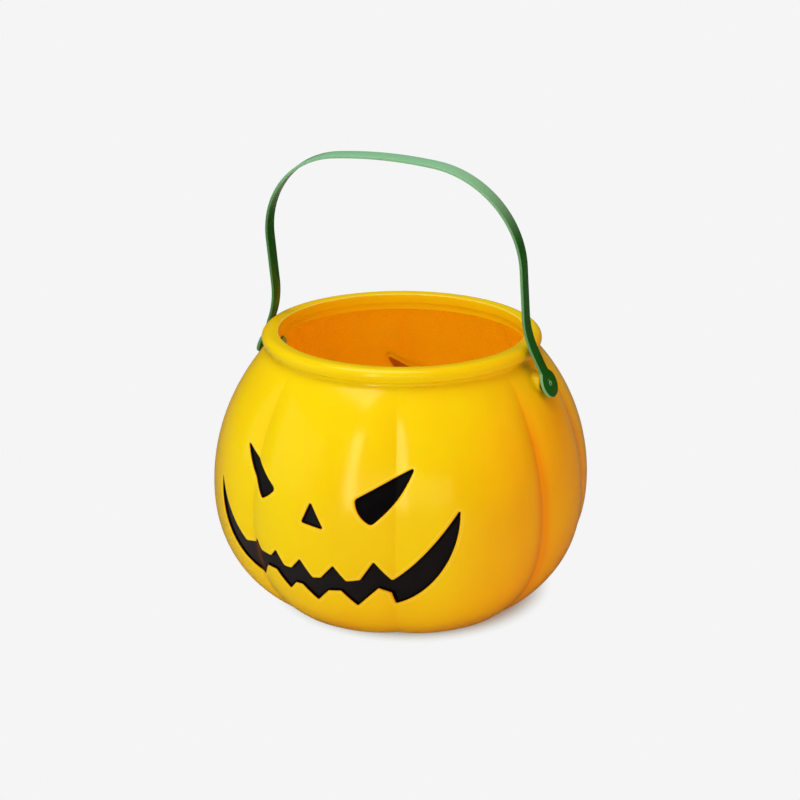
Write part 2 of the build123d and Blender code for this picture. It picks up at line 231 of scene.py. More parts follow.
# Soft lamps: name, colour, width and height, distance, degrees round and up, whether the gloss mirrors it
LAMPS = (
    ("key", WHITE, (0.24, 1.15), 1.6, 3, 18, True),
    ("fill", WARM, (1.4, 1.2), 1.6, 100, 12, True),
    ("top", WHITE, (1.2, 1.2), 1.6, -30, 75, True),
    ("left", WHITE, (1.6, 1.2), 1.8, -50, 12, True),
    ("low", WHITE, (1.8, 0.5), 1.7, 25, 8, True),
    ("back", WHITE, (1.6, 1.2), 1.8, 205, 30, False),
)
LAMP_AIM = (0, 0, 0.07)
INNER_LAMP_COLOUR = (1.0, 0.95, 0.5)
INNER_LAMP_RADIUS = 0.03
INNER_LAMP_PLACE = (0, 0, 0.055)
DIFFUSE_BOUNCES = 12            # the inside of the pail is lit by many bounces
CAMERA_PLACE = (0.33297, -0.66698, 0.34713)
CAMERA_DIP = 19.282             # degrees below level
CAMERA_TURN = 26.587            # degrees round from the front


class PailShellSettings(bpy.types.PropertyGroup):
    """Sizes and colours of the pumpkin body."""

    belly_radius: FloatProperty(
        name="Belly radius", description="Crest of the lobes at the widest height",
        default=0.084, unit="LENGTH")
    belly_height: FloatProperty(
        name="Belly height", description="Height of the widest part",
        default=0.05, unit="LENGTH")
    base_radius: FloatProperty(
        name="Base radius", description="Crest of the lobes where the wall meets the base",
        default=0.058, unit="LENGTH")
    neck_radius: FloatProperty(
        name="Neck radius", description="Round neck under the rim",
        default=0.059, unit="LENGTH")
    neck_height: FloatProperty(
        name="Neck height", description="Where the lobes have run out into the neck",
        default=0.1125, unit="LENGTH")
    wall: FloatProperty(
        name="Wall", description="Wall of the moulding",
        default=0.0015, unit="LENGTH")
    groove_depth: FloatProperty(
        name="Groove depth", description="Depth of the grooves at the belly",
        default=0.0034, unit="LENGTH")
    recess_depth: FloatProperty(
        name="Recess depth", description="From the skin to the floor of the sunk face",
        default=0.002, unit="LENGTH")
    plastic: FloatVectorProperty(
        name="Plastic", description="Yellow-orange of the moulding",
        default=(0.98, 0.7, 0.003), subtype="COLOR", min=0.0, max=1.0)
    # Painted shade: grooves, sides, base and recess walls blend towards this colour, and so does a random tone of
    # thicker plastic
    plastic_deep_and_shade: FloatVectorProperty(
        name="Deep plastic", description="Tone of the plastic where it is thicker",
        default=(0.94, 0.34, 0.0015), subtype="COLOR", min=0.0, max=1.0)
    # Painted shade: a slightly deeper copy of the plastic, tuned to how the inside is lit
    plastic_inside_shade: FloatVectorProperty(
        name="Inside plastic", description="Tone of the unhandled inside",
        default=(0.99, 0.67, 0.004), subtype="COLOR", min=0.0, max=1.0)
    # Painted highlight: the pale line along the lip and around the recesses
    edge_highlight: FloatVectorProperty(
        name="Edge plastic", description="Pale line where the plastic runs thin over an edge",
        default=(1.0, 0.8, 0.2), subtype="COLOR", min=0.0, max=1.0)
    shadowed: FloatVectorProperty(
        name="Show-through", description="Plastic with the black of the face behind it",
        default=(0.4, 0.1, 0.003), subtype="COLOR", min=0.0, max=1.0)


class PailFaceSettings(bpy.types.PropertyGroup):
    """Sizes and colours of the black fills."""

    thickness: FloatProperty(
        name="Thickness", description="Black layer on the floor of a recess",
        default=0.0005, unit="LENGTH")
    black: FloatVectorProperty(
        name="Black", description="Glossy black coat",
        default=(0.0025, 0.0022, 0.0022), subtype="COLOR", min=0.0, max=1.0)
    smeared: FloatVectorProperty(
        name="Smeared black", description="Coat where it is smeared",
        default=(0.006, 0.0054, 0.0052), subtype="COLOR", min=0.0, max=1.0)
    # Painted sheen: the grey that the flats of the fills turn where they gleam
    grey: FloatVectorProperty(
        name="Grey black", description="Coat on the flat of a recess, scuffed",
        default=(0.036, 0.031, 0.031), subtype="COLOR", min=0.0, max=1.0)
    # Painted highlight: the brown line where a groove's crease crosses a fill
    crease_highlight: FloatVectorProperty(
        name="Thin black", description="Coat where it runs thin over a groove",
        default=(0.16, 0.045, 0.008), subtype="COLOR", min=0.0, max=1.0)


class PailHandleSettings(bpy.types.PropertyGroup):
    """Sizes and colours of the strap handle."""

    rise: FloatProperty(
        name="Rise", description="Crown of the strap above the pivots",
        default=0.095, unit="LENGTH")
    lean: FloatProperty(
        name="Lean", description="Forward lean of the handle as it stands",
        default=radians(9.5), subtype="ANGLE", unit="ROTATION")
    strap_width: FloatProperty(
        name="Strap width", description="Width of the strap",
        default=0.0062, unit="LENGTH")
    strap_thickness: FloatProperty(
        name="Strap thickness", description="Thickness of the strap",
        default=0.0013, unit="LENGTH")
    plastic: FloatVectorProperty(
        name="Plastic", description="Green of the strap",
        default=(0.011, 0.1, 0.009), subtype="COLOR", min=0.0, max=1.0)
    plastic_pale: FloatVectorProperty(
        name="Pale plastic", description="Paler streaks in the green",
        default=(0.018, 0.13, 0.015), subtype="COLOR", min=0.0, max=1.0)
    # Painted sheen: the crown runs pale where the light from above gleams on it
    crown_sheen: FloatVectorProperty(
        name="Crown plastic", description="Green of the crown, rubbed by hands",
        default=(0.27, 0.56, 0.32), subtype="COLOR", min=0.0, max=1.0)
    # Painted highlight along the strap's thin edges and the discs' rims
    edge_highlight: FloatVectorProperty(
        name="Edge plastic", description="Pale green of the strap's thin edges",
        default=(0.25, 0.55, 0.25), subtype="COLOR", min=0.0, max=1.0)


class PailStageSettings(bpy.types.PropertyGroup):
    """Floor, lamps and camera."""

    backdrop: FloatVectorProperty(
        name="Backdrop", description="Pale grey of floor and background",
        default=(0.913, 0.913, 0.913), subtype="COLOR", min=0.0, max=1.0)
    key_power: FloatProperty(
        name="Key power", description="Power of the tall soft lamp",
        default=4.8, unit="POWER")
    fill_power: FloatProperty(
        name="Fill power", description="Power of the warm lamp at the right",
        default=7.3, unit="POWER")
    top_power: FloatProperty(
        name="Top power", description="Power of the overhead lamp",
        default=17.4, unit="POWER")
    left_power: FloatProperty(
        name="Left power", description="Power of the soft lamp at the left",
        default=2.8, unit="POWER")
    low_power: FloatProperty(
        name="Low power", description="Power of the wide low lamp in front",
        default=2.8, unit="POWER")
    back_power: FloatProperty(
        name="Back power", description="Power of the soft lamp behind the pail",
        default=5.0, unit="POWER")
    inner_power: FloatProperty(
        name="Inner power", description="Power of the lamp in the pail, for the light that comes through its wall",
        default=0.016, unit="POWER")
    ambient: FloatProperty(
        name="Ambient", description="Even light from all round",
        default=0.2, min=0.0, max=2.0)
    lens: FloatProperty(
        name="Lens", description="Focal length on a 36 mm sensor, in millimetres",
        default=80.14, min=1.0)


# Finishes


class Wire:
    """A shader socket that can be used in sums; numbers mix in on either side."""

    def __init__(self, finish, socket):
        self.finish = finish
        self.socket = socket

    def _math(self, operation, first, second):
        return self.finish.node("ShaderNodeMath", {"operation": operation}, {0: first, 1: second})

    def __add__(self, other):
        return self._math("ADD", self, other)

    def __radd__(self, other):
        return self._math("ADD", other, self)

    def __sub__(self, other):
        return self._math("SUBTRACT", self, other)

    def __rsub__(self, other):
        return self._math("SUBTRACT", other, self)

    def __mul__(self, other):
        return self._math("MULTIPLY", self, other)

    def __rmul__(self, other):
        return self._math("MULTIPLY", other, self)

    def __abs__(self):
        return self._math("ABSOLUTE", self, 0.0)


class Finish:
    """One material or world: its node tree, and a method that adds any node to it."""

    def __init__(self, tree):
        self.tree = tree
        self.tree.nodes.clear()

    def node(self, kind, settings=None, inputs=None, output=0):
        """Add a node, set it, fill or link its sockets, and return one of its outputs."""
        made = self.tree.nodes.new(kind)
        for name, value in (settings or {}).items():
            setattr(made, name, value)
        for name, value in (inputs or {}).items():
            if isinstance(value, Wire):
                self.tree.links.new(value.socket, made.inputs[name])
            else:
                made.inputs[name].default_value = value
        return Wire(self, made.outputs[output]) if made.outputs else None

    def blend(self, share, first, second):
        """Mix two colours."""
        return self.node(
            "ShaderNodeMix", {"data_type": "RGBA", "clamp_factor": True}, {0: share, 6: first, 7: second}, 2)

    def span(self, value, low, high, to_low=0.0, to_high=1.0):
        """Map a value from one range to another, smoothly and clamped."""
        return self.node(
            "ShaderNodeMapRange", {"interpolation_type": "SMOOTHSTEP"},
            {0: value, 1: low, 2: high, 3: to_low, 4: to_high})

    def place(self):
        """Return the place on the object, in metres."""
        return self.node("ShaderNodeTexCoord", output="Object")

    def along(self, axis):
        """Return the place along one of the object's axes."""
        return self.node("ShaderNodeSeparateXYZ", None, {0: self.place()}, axis)

    def mark(self, name):
        """Return a value that the mesh keeps for each point."""
        return self.node("ShaderNodeAttribute", {"attribute_name": name}, output=2)

    def ray(self, kind):
        """Return 1 for one kind of ray and 0 for the others."""
        return self.node("ShaderNodeLightPath", output=f"Is {kind} Ray")

    def noise(self, scale, detail, roughness, stretch=None):
        """Return noise in the object's own space, stretched along an axis if asked."""
        vector = self.place()
        if stretch:
            vector = self.node("ShaderNodeVectorMath", {"operation": "MULTIPLY"}, {0: vector, 1: stretch})
        return self.node(
            "ShaderNodeTexNoise", {"noise_dimensions": "3D"},
            {"Vector": vector, "Scale": scale, "Detail": detail, "Roughness": roughness})

    def bump(self, strength, distance, height):
        """Return the normal of a fine relief."""
        return self.node("ShaderNodeBump", None, {"Strength": strength, "Distance": distance, "Height": height})


def rgba(colour):
    """Return a colour with full alpha."""
    return (*colour, 1.0)


def new_material(name):
    """Return a new material and its finish."""
    material = bpy.data.materials.new(name)
    material.use_nodes = True
    return material, Finish(material.node_tree)


def close_material(finish, shader):
    """Link a shader to the material's output."""
    finish.node("ShaderNodeOutputMaterial", None, {"Surface": shader})


def pumpkin_finish(settings):
    """Return the gloss yellow-orange plastic, with the black of the face showing through from behind.

    The mesh marks grooves, the inside, the wall behind the black, and where a painted highlight line runs (above 0)
    or painted shade goes down a recess wall (below 0). Grooves, sides and base also get painted shade.
    """
    material, finish = new_material("pumpkin_plastic")
    groove, inside, behind, pale = [finish.mark(name) for name in ("groove", "inside", "behind", "pale")]
    cloud = finish.noise(14.0, 3.0, 0.55)
    flow = finish.noise(30.0, 3.0, 0.6, (1.0, 1.0, 0.18))
    thick = finish.span(cloud, 0.38, 0.72) * 0.16 + finish.span(flow, 0.45, 0.75) * 0.12
    # Painted shade: deeper orange towards the sides and near the base
    side = finish.span(abs(finish.along("X")), *SIDE_SHADE_FADE)
    low = 1 - finish.span(finish.along("Z"), *LOW_SHADE_FADE)
    # Painted shade down the recess walls
    recess_wall_shade = 1 - finish.span(pale, -1.0, -0.2)
    # Random tone of the plastic, plus painted shade in the grooves, towards the sides, near the base and down the
    # recess walls
    deep = thick + groove * (0.06 + side * 0.7) + side * 0.6 + low * 0.3 + recess_wall_shade
    colour = finish.blend(deep, rgba(settings.plastic), rgba(settings.plastic_deep_and_shade))
    # Inside: a slightly deeper copy of the plastic, with painted shade along the ridges
    lining = finish.blend(groove * 0.6, rgba(settings.plastic_inside_shade), rgba(settings.plastic_deep_and_shade))
    colour = finish.blend(inside, colour, lining)
    # Painted highlight: a pale line along the lip and around each recess
    thin = finish.span(pale, 0.3, 1.0) * 0.35 + finish.span(pale, 1.0, 2.0) * 0.2
    colour = finish.blend(thin, colour, rgba(settings.edge_highlight))
    colour = finish.blend(behind * 0.95, colour, rgba(settings.shadowed))
    speck = finish.noise(900.0, 2.0, 0.6)
    ripple = finish.noise(110.0, 2.0, 0.5)
    roughness = 0.13 + finish.span(cloud, 0.3, 0.75) * 0.05 + finish.span(speck, 0.4, 0.7) * 0.04 + inside * 0.12
    close_material(finish, finish.node("ShaderNodeBsdfPrincipled", None, {
        "Base Color": colour, "Roughness": roughness, "Normal": finish.bump(0.06, 0.0004, ripple + speck * 0.03),
        "IOR": 1.4, "Specular Tint": (1.0, 0.88, 0.55, 1.0)}))
    return material


def black_finish(settings):
    """Return the glossy black coat, with a painted brown highlight where a groove's crease crosses it and a painted
    grey sheen on its flats.
    """
    material, finish = new_material("face_black")
    smear = finish.noise(160.0, 3.0, 0.6)
    streak = finish.noise(60.0, 3.0, 0.65, (1.0, 1.0, 0.25))
    # Painted highlight along the crease of a groove
    crease_highlight = finish.mark("groove") * finish.span(streak, 0.42, 0.66)
    colour = finish.blend(finish.span(smear, 0.35, 0.8) * 0.5, rgba(settings.black), rgba(settings.smeared))
    # Painted sheen on the flats
    colour = finish.blend(finish.mark("sheen"), colour, rgba(settings.grey))
    colour = finish.blend(crease_highlight, colour, rgba(settings.crease_highlight))
    roughness = 0.3 + finish.span(smear, 0.3, 0.75) * 0.1
    close_material(finish, finish.node("ShaderNodeBsdfPrincipled", None, {
        "Base Color": colour, "Roughness": roughness, "Normal": finish.bump(0.12, 0.0003, smear), "IOR": 1.1}))
    return material


def strap_finish(settings):
    """Return the gloss dark green plastic of the handle, with a painted pale sheen on its crown and painted
    highlights along its thin edges.
    """
    material, finish = new_material("strap_plastic")
    streak = finish.noise(120.0, 3.0, 0.6, (0.25, 1.0, 0.25))
    speck = finish.noise(1500.0, 2.0, 0.6)
    colour = finish.blend(
        finish.span(streak, 0.35, 0.75), rgba(settings.plastic), rgba(settings.plastic_pale))
    # Painted sheen on the crown
    crown = finish.span(finish.along("Z"), *CROWN_SHEEN_FADE)
    colour = finish.blend(crown * 0.95, colour, rgba(settings.crown_sheen))
    # Painted highlight along the edges
    colour = finish.blend(finish.mark("pale") * 0.85, colour, rgba(settings.edge_highlight))
    roughness = 0.1 + finish.span(streak, 0.3, 0.7) * 0.05 + finish.span(speck, 0.4, 0.7) * 0.03
    close_material(finish, finish.node("ShaderNodeBsdfPrincipled", None, {
        "Base Color": colour, "Roughness": roughness, "Normal": finish.bump(0.1, 0.0002, streak + speck * 0.2),
        "IOR": 1.22}))
    return material


# The pumpkin's skin


def crest_radius(shell, height, inset):
    """Return the radius over the lobes at a height, for a skin inset from the outer one."""
    height, inset = np.broadcast_arrays(np.asarray(height, float), np.asarray(inset, float))
    belly = shell.belly_radius - inset
    power = BASE_FULLNESS
    low_reach = shell.belly_height / (1 - (shell.base_radius / shell.belly_radius) ** power) ** (1 / power)
    neck_share = shell.neck_radius / shell.belly_radius
    high_reach = (shell.neck_height - shell.belly_height) / sqrt(1 - neck_share**2)
    down = np.clip(shell.belly_height - height, 0, None) / (low_reach - inset)
    up = np.clip(height - shell.belly_height, 0, None) / (high_reach - inset)
    return belly * np.where(down > 0, (1 - down**power) ** (1 / power), np.sqrt(1 - up**2))


def groove_share(shell, height):
    """Return the groove's depth at a height as a share of its depth at the belly."""
    down = np.clip(shell.belly_height - height, 0, None) / shell.belly_height
    up = np.clip((height - shell.belly_height) / (shell.neck_height - shell.belly_height), 0, 1)
    return np.where(down > 0, 1 - (1 - GROOVE_BASE_SHARE) * down**2, 1 - up**GROOVE_FADE)


def lobe_place(theta):
    """Return each angle's distance to the nearest groove, its lobe's half-width and that lobe's crest drop."""
    edges = np.cumsum([0.0, WIDE_LOBE_ANGLE, WIDE_LOBE_ANGLE, SIDE_LOBE_ANGLE, WIDE_LOBE_ANGLE])
    drops = np.array([0.0, 0.0, SIDE_LOBE_DROP, 0.0])
    turned = np.mod(np.degrees(theta) + WIDE_LOBE_ANGLE / 2, 180.0)
    lobe = np.clip(np.searchsorted(edges, turned, side="right") - 1, 0, 3)
    off = np.radians(np.minimum(turned - edges[lobe], edges[lobe + 1] - turned)) * UNROLL_RADIUS
    half = np.radians(edges[lobe + 1] - edges[lobe]) / 2 * UNROLL_RADIUS
    return off, half, drops[lobe]


def groove_tint(points, reach):
    """Return 1 at the bottom of a groove, falling to 0 at a distance from it."""
    angle = np.arctan2(points[:, 0], -points[:, 1])
    return 1 - np.clip(lobe_place(angle)[0] / reach, 0, 1)


def skin_radius(shell, theta, height, inset):
    """Return the radius of the lobed skin."""
    off, half, drop = lobe_place(theta)
    soft = np.sqrt(off**2 + GROOVE_SOFTNESS**2)
    bend = np.clip(1 - soft / half, 0, 1) ** LOBE_ROUNDNESS
    fall = drop + (shell.groove_depth - drop) * bend
    return crest_radius(shell, height, inset) - groove_share(shell, height) * fall


def side_reach(shell, height, inset):
    """Return how far a skin reaches along the pivot axis at a height."""
    return float(crest_radius(shell, height, inset) - groove_share(shell, height) * SIDE_LOBE_DROP)


def across_at(shell, theta, height, inset):
    """Return how far across the points of a skin stand."""
    return skin_radius(shell, theta, height, inset) * np.sin(theta)


def angle_at_across(shell, across, height, inset):
    """Return the angle at which the front of a skin stands a given distance across."""
    theta = np.arcsin(np.clip(across / shell.belly_radius, -1, 1))
    for _ in range(SETTLE_ROUNDS):
        theta = np.arcsin(np.clip(across / skin_radius(shell, theta, height, inset), -1, 1))
    return theta


def on_skin(shell, theta, height, inset):
    """Return points on a skin."""
    radius = skin_radius(shell, theta, height, inset)
    return np.stack([radius * np.sin(theta), -radius * np.cos(theta), height + 0 * radius], -1)


def skin_ring(shell, angles, height, inset):
    """Return a ring of points round a skin."""
    return on_skin(shell, angles, np.full(len(angles), height), inset)


# Outlines of the face


def curve_between(first, corner, last, count):
    """Return points or rings on a curve from first to last that is drawn towards a corner."""
    return [
        first * (1 - share) ** 2 + corner * 2 * share * (1 - share) + last * share**2
        for share in np.linspace(0, 1, count + 1)]


def bowed(start, end, bow, step):
    """Return points along an arc, without its end, that bows to the right of the way from start to end."""
    start, end = np.array(start, float), np.array(end, float)
    chord = end - start
    length = hypot(*chord)
    count = max(2, ceil(length / step))
    share = np.arange(count)[:, None] / count
    if abs(bow) < 1e-6:
        return start + chord * share
    right = np.array([chord[1], -chord[0]]) / length
    radius = (length**2 / 4 + bow**2) / (2 * bow)
    middle = start + chord / 2 - right * (radius - bow)
    first = atan2(*(start - middle)[::-1])
    turn = 2 * asin(length / 2 / radius)
    angle = first + turn * share
    return middle + abs(radius) * np.concatenate([np.cos(angle), np.sin(angle)], 1)


def rounded(runs, radii, step):
    """Join runs of points into one closed outline, with the corner at each run's start rounded by its radius."""
    radii = np.broadcast_to(radii, len(runs))
    corners = []
    for number, run in enumerate(runs):
        after = (number + 1) % len(runs)
        corner, radius = runs[after][0], radii[after]
        back, ahead = run[-1] - corner, runs[after][1] - corner
        back, ahead = back / hypot(*back), ahead / hypot(*ahead)
        inner = acos(max(-1.0, min(1.0, float(back @ ahead))))
        reach = min(radius / max(1e-6, np.tan(inner / 2)), 3 * radius)
        corners.append((corner, back, ahead, reach))
    joined = []
    for number, (corner, back, ahead, reach) in enumerate(corners):
        run, start_reach = runs[number], corners[number - 1][3]
        joined.extend(
            p for p in run[1:] if hypot(*(p - run[0])) > start_reach and hypot(*(p - corner)) > reach)
        count = max(4, ceil(2 * reach / step))
        joined.extend(curve_between(corner + back * reach, corner, corner + ahead * reach, count))
    return np.array(joined)


def evened(outline, step):
    """Return a closed outline with its points spread evenly."""
    closed = np.vstack([outline, outline[:1]])
    lengths = np.concatenate([[0], np.cumsum(np.hypot(*np.diff(closed, axis=0).T))])
    count = ceil(lengths[-1] / step)
    places = np.arange(count) / count * lengths[-1]
    return np.stack([np.interp(places, lengths, closed[:, k]) for k in (0, 1)], 1)


def straight_runs(corners, step):
    """Return the runs between corners."""
    return [bowed(a, b, 0, step) for a, b in zip(corners[:-1], corners[1:])]


def eye_outline(corners, bows, step):
    """Return an eye's outline through its tip, its inner corner and its lower corner."""
    ends = (*corners[1:], corners[0])
    runs = [bowed(start, end, bow, step) for start, end, bow in zip(corners, ends, bows)]
    return rounded(runs, EYE_CORNER_RADII, step / 3)


def mouth_outline(step):
    """Return the mouth's outline: two horns with rows of teeth between them."""
    upper = (MOUTH_LEFT_ROOTS[0], *MOUTH_UPPER_TEETH, MOUTH_RIGHT_ROOTS[0])
    lower = (MOUTH_RIGHT_ROOTS[1], *MOUTH_LOWER_TEETH, MOUTH_LEFT_ROOTS[1])
    return rounded([
        bowed(MOUTH_LEFT_TIP, MOUTH_LEFT_ROOTS[0], MOUTH_LEFT_BOWS[0], step),
        *straight_runs(upper, step),
        bowed(MOUTH_RIGHT_ROOTS[0], MOUTH_RIGHT_TIP, MOUTH_RIGHT_BOWS[0], step),
        bowed(MOUTH_RIGHT_TIP, MOUTH_RIGHT_ROOTS[1], -MOUTH_RIGHT_BOWS[1], step),
        *straight_runs(lower, step),
        bowed(MOUTH_LEFT_ROOTS[1], MOUTH_LEFT_TIP, -MOUTH_LEFT_BOWS[1], step),
    ], MOUTH_CORNER_RADIUS, step / 3)


def face_outlines(step):
    """Return the four outlines of a face by name, in millimetres, anticlockwise."""
    nose_runs = straight_runs((*NOSE_CORNERS, NOSE_CORNERS[0]), step)
    outlines = {
        "left_eye": eye_outline(LEFT_EYE_CORNERS, LEFT_EYE_BOWS, step),
        "right_eye": eye_outline(RIGHT_EYE_CORNERS, RIGHT_EYE_BOWS, step),
        "nose": rounded(nose_runs, NOSE_CORNER_RADIUS, step / 3),
        "mouth": mouth_outline(step),
    }
    for name, outline in outlines.items():
        following = np.roll(outline, -1, 0)
        area = np.sum(outline[:, 0] * following[:, 1] - following[:, 0] * outline[:, 1])
        outlines[name] = evened(outline if area > 0 else outline[::-1], step)
    return outlines


def grown(outline, distance):
    """Return an outline's points moved outwards, and which of them are still clear of the rest of it."""
    ahead = np.roll(outline, -1, 0) - np.roll(outline, 1, 0)
    ahead /= np.hypot(*ahead.T)[:, None]
    moved = outline + distance * np.stack([ahead[:, 1], -ahead[:, 0]], 1)
    return moved, distance_to(outline, moved) > abs(distance) * CLEAR_SHARE - 1e-9


def distance_to(outline, points):
    """Return the distance from points to a closed outline."""
    way = np.roll(outline, -1, 0) - outline
    length = np.maximum(np.sum(way**2, 1), 1e-12)
    best = np.full(len(points), np.inf)
    for first in range(0, len(points), CHUNK):
        part = points[first:first + CHUNK, None, :] - outline[None]
        share = np.clip(np.sum(part * way[None], 2) / length[None], 0, 1)
        gap = part - share[..., None] * way[None]
        best[first:first + CHUNK] = np.sqrt(np.min(np.sum(gap**2, 2), 1))
    return best


def inside_of(outline, points):
    """Return which points lie inside a closed outline."""
    found = np.zeros(len(points), bool)
    for (x0, y0), (x1, y1) in zip(outline, np.roll(outline, -1, 0)):
        crosses = (y0 > points[:, 1]) != (y1 > points[:, 1])
        at = x0 + (points[:, 1] - y0) / (y1 - y0 if y1 != y0 else 1e-12) * (x1 - x0)
        found ^= crosses & (points[:, 0] < at)
    return found


def signed_gap(outline, points):
    """Return the distance from points to a closed outline, negative inside it."""
    gap = distance_to(outline, points)
    return np.where(inside_of(outline, points), -gap, gap)


# Meshes


def ring_edges(first, kept):
    """Return the edges between neighbours that were both kept, as numbers of the kept points."""
    number = np.cumsum(kept) - 1 + first
    follows = np.roll(np.arange(len(kept)), -1)
    return [(int(number[a]), int(number[b])) for a, b in enumerate(follows) if kept[a] and kept[b]]


def triangulated(points, edges):
    """Return a flat triangulation that keeps edges: points, triangles, and which given point each one is.

    A point that is new, where two edges cross, has the number -1.
    """
    made = delaunay_2d_cdt([Vector(p) for p in points], edges, [], 0, 1e-6)
    source = np.array([origins[0] if origins else -1 for origins in made[3]])
    return np.array([tuple(p) for p in made[0]]), [tuple(t) for t in made[2]], source


def columns():
    """Return the angles of the mesh's columns over one half of the body, closer beside the grooves."""
    near = [c * MM for c in GROOVE_COLUMNS]
    angles = []
    start = HALF_START
    for sweep in (SIDE_LOBE_ANGLE, WIDE_LOBE_ANGLE, WIDE_LOBE_ANGLE, WIDE_LOBE_ANGLE):
        width = radians(sweep) * UNROLL_RADIUS
        count = ceil((width - 2 * near[-1]) / GRID_STEP)
        middle = np.linspace(near[-1], width - near[-1], count + 1)
        offsets = np.concatenate([[0], near[:-1], middle, width - np.array(near[-2::-1])])
        angles.extend(radians(start) + offsets / UNROLL_RADIUS)
        start += sweep
    return np.array([*angles, radians(start)])


def all_angles():
    """Return the angles of the mesh's columns all the way round."""
    half = columns()[:-1]
    return np.concatenate([half, half + pi])


def meridian(shell, low, high, inset):
    """Return evenly spread heights along the wall, and a function from height to length along it."""
    heights = np.linspace(low, high, MERIDIAN_SAMPLES)
    radii = crest_radius(shell, heights, inset)
    lengths = np.concatenate([[0], np.cumsum(np.hypot(np.diff(radii), np.diff(heights)))])
    count = ceil(lengths[-1] / GRID_STEP)
    rows = np.interp(np.linspace(0, lengths[-1], count + 1), lengths, heights)
    return rows, lambda height: np.interp(height, heights, lengths)


# What half_skin keeps of each point until it is set on the skin
ACROSS, LEVEL, DEPTH, ANGLE, TINT, RISE = range(6)


def half_skin(shell, inset, low, high, ring_rows, floor_depth, collar, boss):
    """Mesh one half of a skin, from groove to groove, with the face pressed into it and a hole for the pivot.

    Each row of ring_rows is a distance outside the outlines and the depth of the skin there, in millimetres,
    and its tint. Each row of collar is a radius about the pivot and the share of the way from the skin up to
    the boss's face; the last one is the hole. Returns points, triangles, the hole's ring and each point's tint.
    """
    outlines = list(face_outlines(OUTLINE_STEP / MM).values())
    pivot_height = shell.neck_height - PIVOT_DROP
    rows, along = meridian(shell, low, high, inset)

    # The grid, without what lies close to the outlines' rows or the pivot hole
    angles = columns()
    theta, height = [a.ravel() for a in np.meshgrid(angles, rows)]
    flat = np.stack([across_at(shell, theta, height, inset), height], 1) / MM
    depth = np.zeros(len(flat))
    keep = np.ones(len(flat), bool)
    front = np.abs(theta) < FACE_SPAN
    furthest = max(row[0] for row in ring_rows)
    nearest = min(row[0] for row in ring_rows)
    for outline in outlines:
        signed = signed_gap(outline, flat)
        keep &= ~(front & (signed < furthest + KEEP_OFF) & (signed > nearest - KEEP_OFF))
        depth[front & (signed < nearest)] = floor_depth
    beside = -skin_radius(shell, theta, height, inset) * np.cos(theta)
    near_pivot = np.hypot(beside, height - pivot_height) < collar[0][0] + KEEP_OFF * MM
    keep &= ~((theta < -FACE_SPAN) & near_pivot)
    keep |= (theta < angles[0] + 1e-9) | (theta > angles[-1] - 1e-9)
    keep |= (height < rows[0] + 1e-9) | (height > rows[-1] - 1e-9)
    theta, height, depth = theta[keep], height[keep], depth[keep]
    none = np.zeros(len(theta))
    tint = np.where(depth > 0, ring_rows[-1][2], none)
    unrolled = [np.stack([theta * UNROLL_RADIUS, along(height)], 1)]
    places = [np.stack([across_at(shell, theta, height, inset), height, depth * MM, theta, tint, none], 1)]
    edges = []
    total = len(theta)

    # Rows along the outlines
    for outline in outlines:
        for distance, row_depth, row_tint in ring_rows:
            moved, good = grown(outline, distance)
            spread, clear = grown(outline, distance if distance > -0.01 else distance - WALL_SPREAD)
            good &= clear
            for other in outlines:
                if other is not outline:
                    good &= distance_to(other, moved) > max(distance, 0)
            edges.extend(ring_edges(total, good))
            moved, spread = moved[good] * MM, spread[good] * MM
            angle = angle_at_across(shell, spread[:, 0], spread[:, 1], inset)
            none = np.zeros(len(moved))
            unrolled.append(np.stack([angle * UNROLL_RADIUS, along(spread[:, 1])], 1))
            places.append(np.stack(
                [moved[:, 0], moved[:, 1], none + row_depth * MM, angle, none + row_tint, none], 1))
            total += len(moved)

    # Rings about the pivot
    around = np.linspace(0, 2 * pi, PIVOT_POINTS, endpoint=False)
    none = np.zeros(PIVOT_POINTS)
    for radius, share in collar:
        ring_y, ring_z = radius * np.cos(around), pivot_height + radius * np.sin(around)
        angle = np.full(PIVOT_POINTS, -pi / 2)
        for _ in range(PIVOT_SETTLE_ROUNDS):
            angle = -np.arccos(-ring_y / skin_radius(shell, angle, ring_z, inset))
        unrolled.append(np.stack([angle * UNROLL_RADIUS, along(ring_z)], 1))
        places.append(np.stack([none * np.nan, ring_z, none, angle, none, none + share], 1))
        edges.extend(ring_edges(total, np.ones(PIVOT_POINTS, bool)))
        total += PIVOT_POINTS

    laid, triangles, source = triangulated(np.concatenate(unrolled) * MESH_SCALE, edges)
    place = np.concatenate(places)[source]
    crossed = np.flatnonzero(source < 0)
    if len(crossed):
        place[crossed] = crossing_places(
            shell, inset, rows, along, outlines, ring_rows, laid[crossed] / MESH_SCALE)
    points = on_skin(shell, place[:, ANGLE], place[:, LEVEL], inset)
    pressed = np.isfinite(place[:, ACROSS]) & (np.abs(place[:, ANGLE]) < FACE_SPAN)
    across, level, sunk = place[pressed, ACROSS], place[pressed, LEVEL], inset + place[pressed, DEPTH]
    points[pressed] = on_skin(shell, angle_at_across(shell, across, level, sunk), level, sunk)
    points[:, 0] -= place[:, RISE] * np.maximum(boss + points[:, 0], 0)
    found = {int(given): number for number, given in enumerate(source)}
    hole = [found[total - PIVOT_POINTS + k] for k in range(PIVOT_POINTS)]
    triangles = [t for t in triangles if not set(t) <= set(hole)]
    return points, triangles, hole, place[:, TINT]


